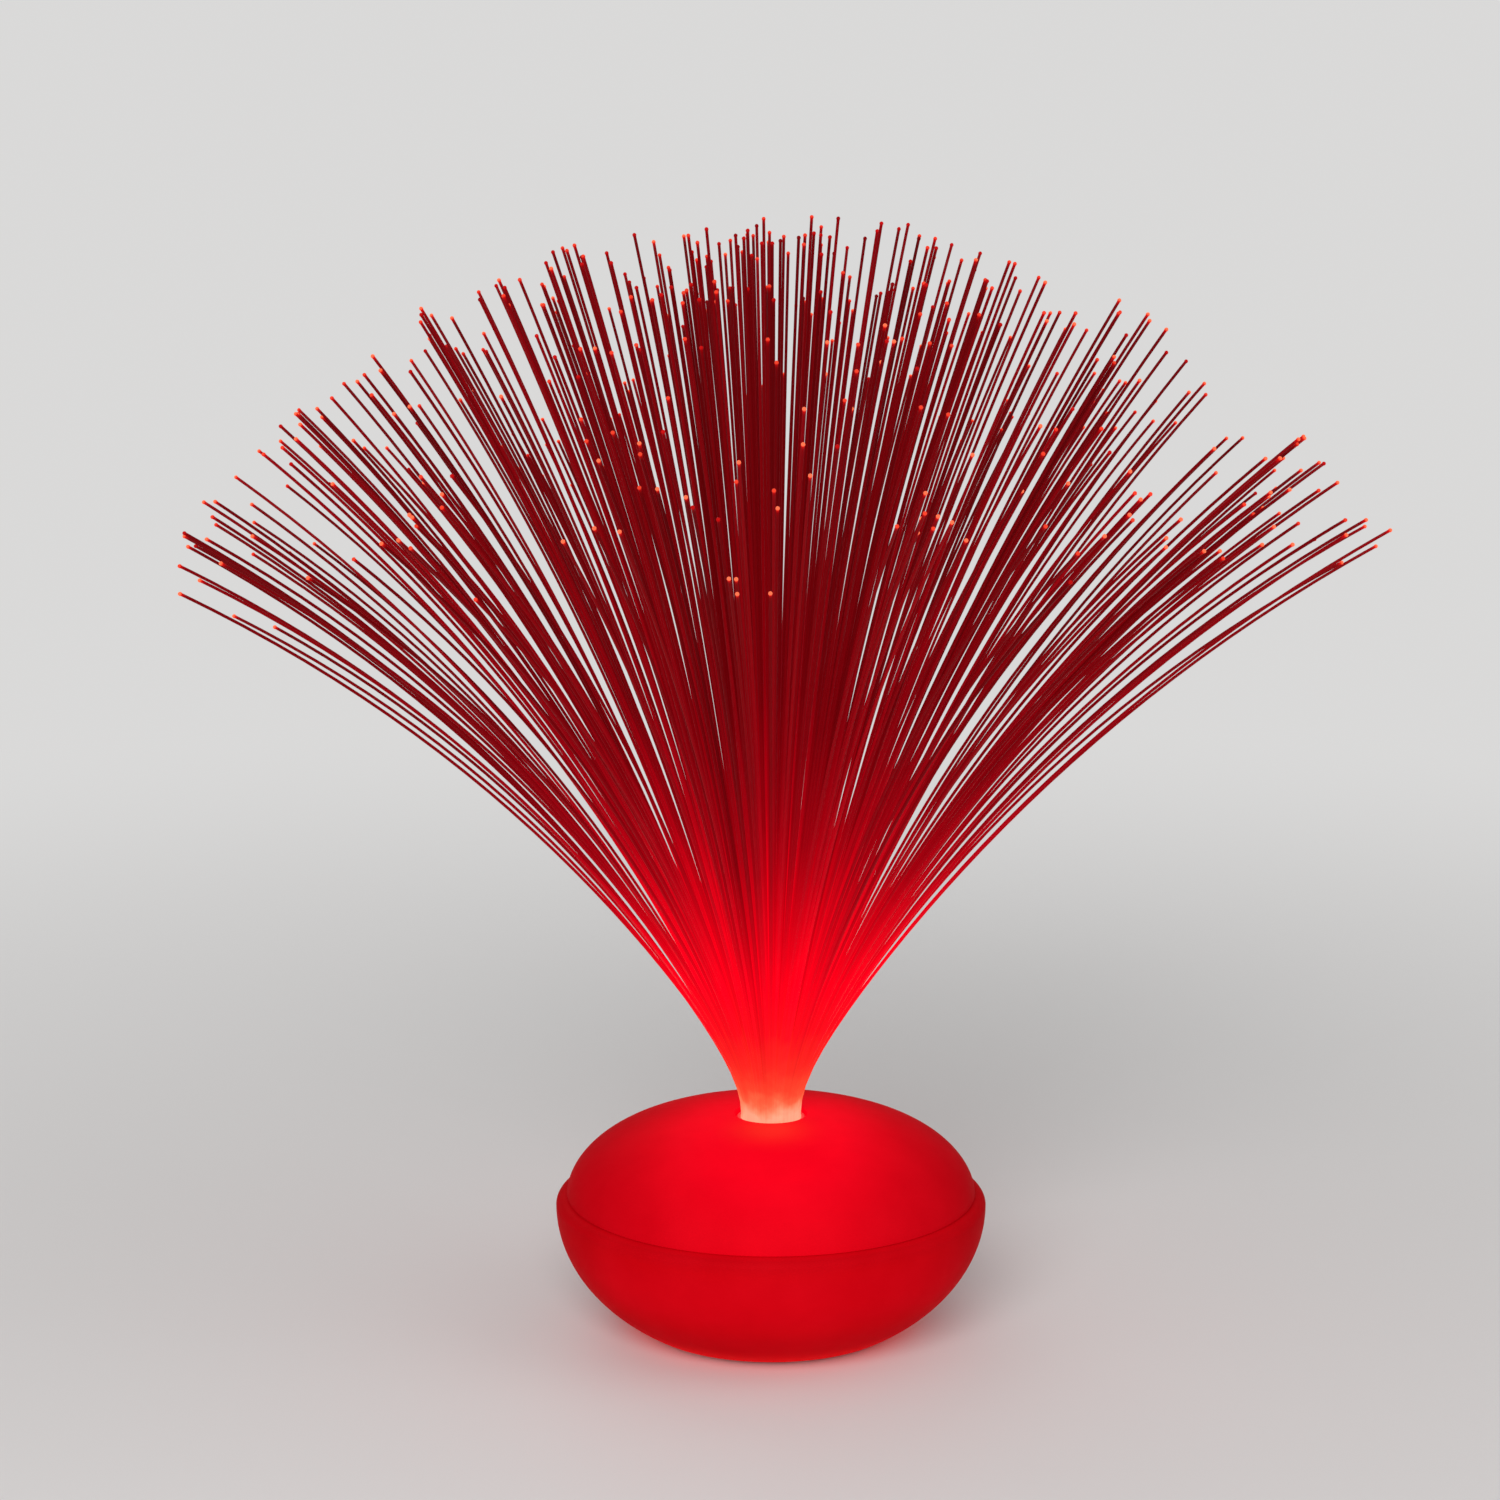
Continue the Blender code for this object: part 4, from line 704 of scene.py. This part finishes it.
def lower_shell(material):
    """Bowl with the rounded rim, the foot ring, the ledge over the base plate and the screw bosses."""
    shoulder = arc((RIM_RADIUS, WIDEST_Z), SHOULDER_WIDTH, SHOULDER_HEIGHT, math.pi / 2, 0, SHOULDER_POINTS)
    outside = arc((0, WIDEST_Z), BASE_RADIUS, BOWL_HALF_HEIGHT, 0, -FOOT_ANGLE, CURVE_POINTS)
    ledge_radius = FOOT_RADIUS - FOOT_WALL
    ledge = [
        (ledge_radius, FOOT_RISE),
        (ledge_radius, LEDGE_Z),
        (ledge_radius - LEDGE_WIDTH, LEDGE_Z),
        (ledge_radius - LEDGE_WIDTH, LEDGE_TOP),
    ]
    inner_half_height = BOWL_HALF_HEIGHT - SHELL_WALL
    inner_angle = -math.asin((WIDEST_Z - LEDGE_TOP) / inner_half_height)
    inside = arc((0, WIDEST_Z), BASE_RADIUS - SHELL_WALL, inner_half_height, inner_angle, 0, CURVE_POINTS)
    rim = [(RIM_INNER_RADIUS, RIM_Z - RIM_LIP), (RIM_INNER_RADIUS, RIM_Z)]
    profile = shoulder + outside[1:] + ledge + inside + rim
    corners = [(outside[-1], FOOT_ROUND), (ledge[0], FOOT_INNER_ROUND), (rim[1], RIM_ROUND)]
    parts = [turn_points(rounded(profile, corners), SHELL_STEPS)]
    for side in (-1, 1):
        for end in (-1, 1):
            x = side * BOSS_CIRCLE * math.cos(BOSS_ANGLE)
            y = end * BOSS_CIRCLE * math.sin(BOSS_ANGLE)
            parts += [boss(x, y), boss_rib(x, y)]
    obj = mesh_object("bowl", *join(parts), material)
    face_out(obj)
    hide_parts("lower_shell")
    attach(obj, "base")


# Fiber spray


def sheaf_places(sheaf, chance):
    """Ring, root and aim of each fiber of one sheaf. Each ring has one fiber more than the last."""
    middle = SHEAF_ANGLE * (sheaf + 1 / 2) - math.pi / 2
    places = []
    for ring in range(1, RING_COUNT + 1):
        for index in range(ring):
            angle = middle + SHEAF_ANGLE * ((index + 1 / 2) / ring - 1 / 2)
            x = SHEAF_SPREAD * math.cos(middle) + FIBER_PITCH * ring * math.cos(angle)
            y = SHEAF_SPREAD * math.sin(middle) + FIBER_PITCH * ring * math.sin(angle)
            turn = chance.uniform(-1, 1) * TURN_JITTER_SHARE * SHEAF_ANGLE / ring
            azimuth = math.atan2(y, x) + turn
            place = (ring - 1 / 2 + chance.uniform(-1, 1) * LEAN_JITTER_SHARE) / RING_COUNT
            aim = Vector((place * math.cos(azimuth), place * math.sin(azimuth)))
            places.append((ring, (x, y), aim))
    return places


def fiber_route(root, aim, bend_share, length):
    """Fine points of a fiber that leaves upright, bends out near its root and then droops slowly."""
    azimuth = math.atan2(aim.y, aim.x)
    narrowing = (1 - DEPTH_LEAN_SHARE) * math.sin(azimuth) ** 2
    lean = LARGEST_LEAN * aim.length**LEAN_EXPONENT * (1 - narrowing)
    share = (np.arange(CURVE_STEPS) + 1 / 2) / CURVE_STEPS
    bend = bend_share * (1 - np.exp(-share / ROOT_REACH_SHARE))
    angle = lean * (bend + (1 - bend_share) * share)
    across, up = np.sin(angle), np.cos(angle)
    ways = np.stack([across * math.cos(azimuth), across * math.sin(azimuth), up], axis=1)
    points = np.concatenate([np.zeros((1, 3)), np.cumsum(ways * length / CURVE_STEPS, axis=0)])
    return points + (root[0], root[1], SHEAF_TOP)


def fiber_in_box(root, aim, bend_share, length):
    """Fiber's route, shortened until its bead stays inside the CAD model's box."""
    low = np.array(CAD_BOX[0]) + TIP_RADIUS + BOX_MARGIN
    high = np.array(CAD_BOX[1]) - TIP_RADIUS - BOX_MARGIN
    while True:
        fine = fiber_route(root, aim, bend_share, length)
        if (fine[-1] >= low).all() and (fine[-1] <= high).all():
            return fine, length
        length *= BOX_TRIM_SHARE


def sheaf_fibers(sheaf, chance, look_chance):
    """Fibers of one sheaf, drawn together in clumps. A few are short, and a few stray outwards."""
    places = sheaf_places(sheaf, chance)
    middles = chance.sample([aim for _, _, aim in places], CLUMP_COUNT)
    clumps = [(middle, chance.random(), look_chance.uniform(*CLUMP_SHADE_SHARES)) for middle in middles]
    fibers = []
    for ring, root, aim in places:
        middle, clump_trim, clump_shade = min(clumps, key=lambda clump: (clump[0] - aim).length)
        aim = aim.lerp(middle, CLUMP_PULL_SHARE)
        loose = CLUMP_TRIM_SHARE * clump_trim + (1 - CLUMP_TRIM_SHARE) * chance.random()
        trim = TRIM_SHARE * loose**2 + OUTER_TRIM_SHARE * aim.length**2
        if chance.random() < SHORT_SHARE:
            trim += SHORT_TRIM_SHARE * chance.random()
        stray = ring == RING_COUNT and chance.random() < STRAY_SHARE
        bend_share = STRAY_BEND_SHARE if stray else ROOT_BEND_SHARE
        shade = clump_shade * look_chance.uniform(*FIBER_SHADE_SHARES)
        light = tip_light(aim, look_chance)
        fibers.append((root, aim, bend_share, FIBER_LENGTH * (1 - trim), shade, light))
    return fibers


def tip_light(aim, chance):
    """Light that leaves a fiber's end. More of the outer fibers have a clean, bright end."""
    bright = 0.3 + aim.length * chance.uniform(0.3, 1.0) + chance.uniform(-0.3, 0.3)
    level = min(max(int(bright * len(TIP_LIGHT_SHARES)), 0), len(TIP_LIGHT_SHARES) - 1)
    return TIP_LIGHT_SHARES[level]


def fiber_between(first, second, chance):
    """One more fiber between two neighbours, never longer than either."""
    share = chance.uniform(*FILLER_PLACE_SHARES)
    root = (np.array(first[0]) * (1 - share) + np.array(second[0]) * share).tolist()
    length = min(first[3], second[3]) * chance.uniform(*FILLER_LENGTH_SHARES)
    shade = first[4] * chance.uniform(*FILLER_SHADE_SHARES)
    aim = first[1].lerp(second[1], share)
    return root, aim, ROOT_BEND_SHARE, length, shade, tip_light(aim, chance)


def filler_fibers(fibers, chance):
    """More fibers inside one sheaf."""
    fillers = []
    for _ in range(FILLER_COUNT):
        first = chance.choice(fibers)
        near = sorted(fibers, key=lambda fiber: (fiber[1] - first[1]).length)
        fillers.append(fiber_between(first, near[chance.randint(1, 2)], chance))
    return fillers


def border_fibers(fibers, others, chance):
    """More fibers over the narrow gap between two sheaves."""
    pairs = []
    for first in fibers:
        second = min(others, key=lambda fiber: math.dist(fiber[0], first[0]))
        pairs.append((math.dist(first[0], second[0]), first, second))
    pairs.sort(key=lambda pair: pair[0])
    return [fiber_between(first, second, chance) for _, first, second in pairs[:BORDER_COUNT]]


def fiber_mesh(fine, length, shade, light):
    """Points, faces, strip coordinates and attributes of one round fiber with a beaded tip."""
    spots = np.linspace(0, 1, ROUTE_POINTS) ** ROUTE_EXPONENT
    index = np.round(spots * CURVE_STEPS).astype(int)
    index = np.concatenate([index[:-1], TIP_RING_STEPS, index[-1:]])
    centres = np.concatenate([[fine[0] - (0, 0, STRAND_FOOT)], fine[index]])
    along = np.concatenate([[0], index / CURVE_STEPS * length / FIBER_LENGTH])
    radii = np.full(len(centres), FIBER_RADIUS)
    end_way = fine[-1] - fine[-2]
    end_way = end_way / np.linalg.norm(end_way)
    bead_angles = np.radians(BEAD_ANGLES)
    bead_middle = fine[-1] - end_way * TIP_RADIUS
    bead_rings = len(bead_angles) - 1
    centres[-1] = bead_middle + end_way * TIP_RADIUS * math.sin(bead_angles[0]) * BEAD_NECK_SHARE
    bead_centres = bead_middle + end_way * TIP_RADIUS * np.sin(bead_angles[1:])[:, None]
    centres = np.concatenate([centres, bead_centres])
    radii = np.concatenate([radii, TIP_RADIUS * np.cos(bead_angles[1:])])
    along = np.concatenate([along, np.full(bead_rings, length / FIBER_LENGTH)])
    ways = np.gradient(centres, axis=0)
    ways[-bead_rings:] = end_way
    ways /= np.linalg.norm(ways, axis=1)[:, None]
    side = np.cross(ways, (-end_way[1], end_way[0], SIDE_TILT))
    side /= np.linalg.norm(side, axis=1)[:, None]
    other = np.cross(ways, side)
    turn = np.linspace(0, math.tau, FIBER_SIDES, endpoint=False)
    outward = side[:, None] * np.cos(turn)[None, :, None] + other[:, None] * np.sin(turn)[None, :, None]
    rings = centres[:, None] + radii[:, None, None] * outward
    points = np.concatenate([rings.reshape(-1, 3), [fine[-1]]])
    from_tip = np.linalg.norm(centres - fine[-1], axis=1)
    tip = np.exp(-np.maximum(from_tip - TIP_RADIUS, 0) / TIP_GLOW_REACH)
    rows = len(centres)
    faces, strips = [], []
    for row in range(rows - 1):
        for column in range(FIBER_SIDES):
            following = (column + 1) % FIBER_SIDES
            faces.append(
                (
                    row * FIBER_SIDES + column,
                    row * FIBER_SIDES + following,
                    (row + 1) * FIBER_SIDES + following,
                    (row + 1) * FIBER_SIDES + column,
                )
            )
            left, right = column / FIBER_SIDES, (column + 1) / FIBER_SIDES
            low, high = row / rows, (row + 1) / rows
            strips += [(left, low), (right, low), (right, high), (left, high)]
    last = (rows - 1) * FIBER_SIDES
    for column in range(FIBER_SIDES):
        faces.append((last + column, last + (column + 1) % FIBER_SIDES, len(points) - 1))
        left, right = column / FIBER_SIDES, (column + 1) / FIBER_SIDES
        strips += [(left, (rows - 1) / rows), (right, (rows - 1) / rows), ((left + right) / 2, 1.0)]
    faces.append(tuple(range(FIBER_SIDES - 1, -1, -1)))
    strips += [(column / FIBER_SIDES, 0.0) for column in range(FIBER_SIDES)]
    values = {
        "along": np.append(np.repeat(along, FIBER_SIDES), along[-1]),
        "tip": light * np.append(np.repeat(tip, FIBER_SIDES), 1.0),
        "shade": np.full(len(points), shade),
    }
    return points, faces, np.array(strips), values


def potting(sheaf):
    """Wedge of clear resin that holds one sheaf's roots inside the ferrule."""
    middle = SHEAF_ANGLE * (sheaf + 1 / 2) - math.pi / 2
    inset = math.asin(SHEAF_GAP / 2 / BUNDLE_RADIUS)
    half = SHEAF_ANGLE / 2 - inset
    outline = [(SHEAF_GAP / 2 / math.sin(SHEAF_ANGLE / 2), middle)]
    outline += [(BUNDLE_RADIUS, middle + half * share) for share in np.linspace(-1, 1, SHEAF_STEPS)]
    flat = [(radius * math.cos(angle), radius * math.sin(angle)) for radius, angle in outline]
    points = [(x, y, level) for level in (POTTING_FOOT_Z, FERRULE_TOP) for x, y in flat]
    count = len(flat)
    faces = [tuple(range(count - 1, -1, -1)), tuple(range(count, count * 2))]
    faces += [(i, (i + 1) % count, count + (i + 1) % count, count + i) for i in range(count)]
    strips = []
    for face in faces:
        strips += [points[corner][:2] for corner in face]
    return np.array(points), faces, np.clip(0.5 + POTTING_MAP_SCALE * np.array(strips), 0, 1)


def strip_map(strips, strip, strips_across):
    """Coordinates of one piece of a sheaf in its own upright strip of the map."""
    return (strips * (STRIP_FILL_SHARE, 1.0) + (strip + STRIP_MARGIN_SHARE, 0)) / (strips_across, 1)


def fiber_sheaf(sheaf, fibers, material):
    """One seventh of the spray: its fibers, and the potting that holds them."""
    strips_across = len(fibers) + 1
    parts, maps, values = [], [], {"along": [], "tip": [], "shade": []}
    for strip, (root, aim, bend_share, length, shade, light) in enumerate(fibers):
        fine, length = fiber_in_box(root, aim, bend_share, length)
        points, faces, strips, own = fiber_mesh(fine, length, shade, light)
        parts.append((points, faces))
        maps.append(strip_map(strips, strip, strips_across))
        for key, value in own.items():
            values[key].append(value)
    points, faces, strips = potting(sheaf)
    parts.append((points, faces))
    maps.append(strip_map(strips, strips_across - 1, strips_across))
    for key, level in (("along", 0.0), ("tip", 0.0), ("shade", POTTING_SHADE_SHARE)):
        values[key].append(np.full(len(points), level))
    obj = mesh_object(f"fibers_{sheaf + 1}", *join(parts), material)
    mesh = obj.data
    layer = mesh.uv_layers.new(name="OFBake")
    layer.data.foreach_set("uv", np.concatenate(maps).astype(np.float32).ravel())
    for key, value in values.items():
        attribute = mesh.attributes.new(key, "FLOAT", "POINT")
        attribute.data.foreach_set("value", np.concatenate(value).astype(np.float32))
    mesh.set_sharp_from_angle(angle=FIBER_SHARP_ANGLE)
    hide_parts(f"fiber_sheaf_{sheaf + 1}")
    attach(obj, "spray")


def fiber_spray(material):
    chance = random.Random(SPRAY_SEED)
    look_chance = random.Random(LOOK_SEED)
    sheaves = [sheaf_fibers(sheaf, chance, look_chance) for sheaf in range(SHEAF_COUNT)]
    for sheaf, fibers in enumerate(sheaves):
        others = sheaves[(sheaf + 1) % SHEAF_COUNT]
        more = filler_fibers(fibers, look_chance) + border_fibers(fibers, others, look_chance)
        fiber_sheaf(sheaf, fibers + more, material)


# CAD nodes that stay


def smoothing_group():
    """Node group that welds a CAD mesh's split faces and smooths it where it isn't sharp."""
    group = bpy.data.node_groups.new("smooth_faces", "GeometryNodeTree")
    group.interface.new_socket("Geometry", in_out="INPUT", socket_type="NodeSocketGeometry")
    group.interface.new_socket("Geometry", in_out="OUTPUT", socket_type="NodeSocketGeometry")
    nodes, links = group.nodes, group.links
    start, end = nodes.new("NodeGroupInput"), nodes.new("NodeGroupOutput")
    weld = nodes.new("GeometryNodeMergeByDistance")
    weld.inputs["Distance"].default_value = WELD_DISTANCE
    drop = nodes.new("GeometryNodeRemoveAttribute")
    drop.inputs["Name"].default_value = "custom_normal"
    smooth = nodes.new("GeometryNodeSetShadeSmooth")
    smooth.inputs["Shade Smooth"].default_value = True
    sharp = nodes.new("GeometryNodeSetShadeSmooth")
    sharp.domain = "EDGE"
    sharp.inputs["Shade Smooth"].default_value = False
    angle = nodes.new("GeometryNodeInputMeshEdgeAngle")
    over = nodes.new("FunctionNodeCompare")
    over.operation = "GREATER_THAN"
    over.inputs[1].default_value = CAD_SHARP_ANGLE
    links.new(angle.outputs["Unsigned Angle"], over.inputs[0])
    links.new(over.outputs["Result"], sharp.inputs["Selection"])
    chain = [start, weld, drop, smooth, sharp, end]
    for first, second in zip(chain, chain[1:]):
        links.new(first.outputs["Geometry"], second.inputs["Geometry"])
    return group


def dress(material, slot, *names, bevel=0.0):
    """Gives CAD nodes their material, smooth faces and, where asked, small rounds on their edges."""
    for name in names:
        obj = NODES[name]
        for place in range(len(obj.material_slots)):
            obj.material_slots[place].material = material
        modifier = obj.modifiers.new("smooth", "NODES")
        modifier.node_group = SMOOTHING
        if bevel:
            flats = obj.modifiers.new("merged_flats", "DECIMATE")
            flats.decimate_type = "DISSOLVE"
            flats.angle_limit = FLAT_ANGLE
            edge = obj.modifiers.new("edges", "BEVEL")
            edge.width = bevel
            edge.segments = 2
            edge.limit_method = "ANGLE"
            edge.angle_limit = CAD_SHARP_ANGLE
            weighted = obj.modifiers.new("even_flats", "WEIGHTED_NORMAL")
            weighted.keep_sharp = True


# Studio


def studio():
    """Pale floor, soft lamps and a pale world."""
    angle = np.linspace(0, math.tau, FLOOR_STEPS, endpoint=False)
    rim = np.stack([np.cos(angle) * FLOOR_RADIUS, np.sin(angle) * FLOOR_RADIUS, angle * 0], axis=1)
    material, tree, shader = new_material("pale_floor", 0.6, specular=0.15)
    place = object_place(tree)
    tone = ramp(tree, noise(tree, place, 1.5, 2), [(0.3, (0.80, 0.79, 0.785)), (0.7, (0.82, 0.81, 0.805))])
    tree.links.new(tone, shader.inputs["Base Color"])
    seen = add(tree, "LightPath").outputs["Is Camera Ray"]
    inputs = {"Value": axis_radius(tree, place), "From Min": BACKDROP_START, "From Max": BACKDROP_END}
    away = add(tree, "MapRange", inputs)
    away.interpolation_type = "SMOOTHSTEP"
    far = math_node(tree, "MULTIPLY", seen, away.outputs["Result"])
    backdrop = add(tree, "Emission", {"Color": (*PALE, 1), "Strength": 1.0})
    blend = add(tree, "MixShader", {"Fac": far, 1: shader.outputs[0], 2: backdrop.outputs[0]})
    tree.links.new(blend.outputs[0], tree.nodes["Material Output"].inputs["Surface"])
    floor = mesh_object("floor", rim, [tuple(range(FLOOR_STEPS))], material)
    for name, place, size, power in LAMPS:
        lamp(name, place, size, power)
    world = bpy.data.worlds.new("pale_world")
    bpy.context.scene.world = world
    world.use_nodes = True
    tree = world.node_tree
    background = tree.nodes["Background"]
    background.inputs["Color"].default_value = (*PALE, 1)
    seen = add(tree, "LightPath").outputs["Is Camera Ray"]
    strength = math_node(tree, "MULTIPLY_ADD", seen, 1 - WORLD_STRENGTH, WORLD_STRENGTH)
    tree.links.new(strength, background.inputs["Strength"])


def lamp(name, place, size, power):
    data = bpy.data.lights.new(name, "AREA")
    data.shape = "DISK"
    data.size = size
    data.energy = power
    obj = bpy.data.objects.new(name, data)
    obj.location = place
    obj.rotation_euler = (Vector(STUDIO_AIM) - Vector(place)).to_track_quat("-Z", "Y").to_euler()
    bpy.context.scene.collection.objects.link(obj)


def camera():
    data = bpy.data.cameras.new("camera")
    data.sensor_width = 36
    data.lens = CAMERA_LENS
    obj = bpy.data.objects.new("camera", data)
    obj.location = CAMERA_PLACE
    obj.rotation_euler = (math.pi / 2 - CAMERA_PITCH, 0, CAMERA_YAW)
    bpy.context.scene.collection.objects.link(obj)
    bpy.context.scene.camera = obj


camera()
studio()
bpy.context.scene.view_settings.view_transform = "Standard"
SMOOTHING = smoothing_group()

upper_shell(frosted("frosted_dome", dome_glow))
lower_shell(frosted("frosted_bowl", bowl_glow))
fiber_spray(optical_fiber())

dress(lit_sleeve(), "sleeve_plastic", "ferrule", "bundle_socket", bevel=PLASTIC_ROUND)
white = moulded("white_plastic", (0.70, 0.69, 0.66), (0.76, 0.75, 0.72), 0.45, 1700, 0.00002)
dress(white, "base_plastic", "base_plate", "battery_door", bevel=PLASTIC_ROUND)
black = moulded("black_plastic_grain", (0.018, 0.018, 0.019), (0.030, 0.030, 0.031), 0.42, 1900, 0.00001)
dress(black, "black_plastic", "switch_body", "switch_knob", "controller_chip", bevel=SWITCH_ROUND)
dark_rubber, pale_rubber, rubber_speck = (0.022, 0.022, 0.022), (0.040, 0.039, 0.038), (0.07, 0.07, 0.07)
rubber = moulded("rubber_grain", dark_rubber, pale_rubber, 0.80, 1300, 0.00003, rubber_speck)
dress(rubber, "rubber", *[f"rubber_foot_{index}" for index in range(1, 5)], bevel=RUBBER_ROUND)
steel = metal("screw_steel", (0.46, 0.46, 0.47), (0.60, 0.60, 0.61), 0.32, (300, 3000, 3000))
screws = [f"base_screw_{index}" for index in range(1, 5)] + ["board_screw_1", "board_screw_2"]
dress(steel, "steel", *screws)
nickel = metal("contact_nickel", (0.60, 0.57, 0.52), (0.72, 0.69, 0.64), 0.28, (3000, 3000, 300))
contacts = ["contact_plate_start", "contact_plate_end", "contact_bridge_front", "contact_bridge_rear"]
contacts += [f"contact_spring_{index}" for index in range(1, 4)]
contacts += ["switch_terminal_1", "switch_terminal_2"]
dress(nickel, "nickel", *contacts)
dress(cell_jacket("cell_film", 1), "cell_jacket", "cell_1", "cell_3", bevel=CELL_ROUND)
dress(cell_jacket("cell_film_turned", -1), "cell_jacket", "cell_2", bevel=CELL_ROUND)
dress(circuit_board(), "board", "led_board")
for name in ("resistor_1", "resistor_2"):
    low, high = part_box(name)
    half = (high.x - low.x) / 2
    middle = (low.x + high.x) / 2
    part = banded(name + "_ends", (0.02, 0.02, 0.02), (0.75, 0.74, 0.72), "X", middle, half * 0.7, 900)
    dress(part, "black_plastic", name)
low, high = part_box("smoothing_capacitor")
reach = (high.z - low.z) * 0.9
can = banded("capacitor_can", (0.03, 0.04, 0.10), (0.70, 0.70, 0.70), "Z", low.z, reach, 700)
dress(can, "black_plastic", "smoothing_capacitor", bevel=CAPACITOR_ROUND)
ceramic = moulded("led_ceramic", (0.80, 0.80, 0.77), (0.86, 0.86, 0.83), 0.5, 2400, 0.00001)
dress(ceramic, "led_package", "led_package")
dress(lens(), "led_lens", "led_lens")
red = moulded("red_insulation", (0.42, 0.012, 0.012), (0.50, 0.018, 0.016), 0.38, 1200, 0.00001)
dress(red, "red_wire", "wire_battery_positive", "wire_switched")
dark, pale = (0.015, 0.015, 0.015), (0.024, 0.024, 0.024)
dress(moulded("black_insulation", dark, pale, 0.38, 1200, 0.00001), "black_wire", "wire_battery_negative")
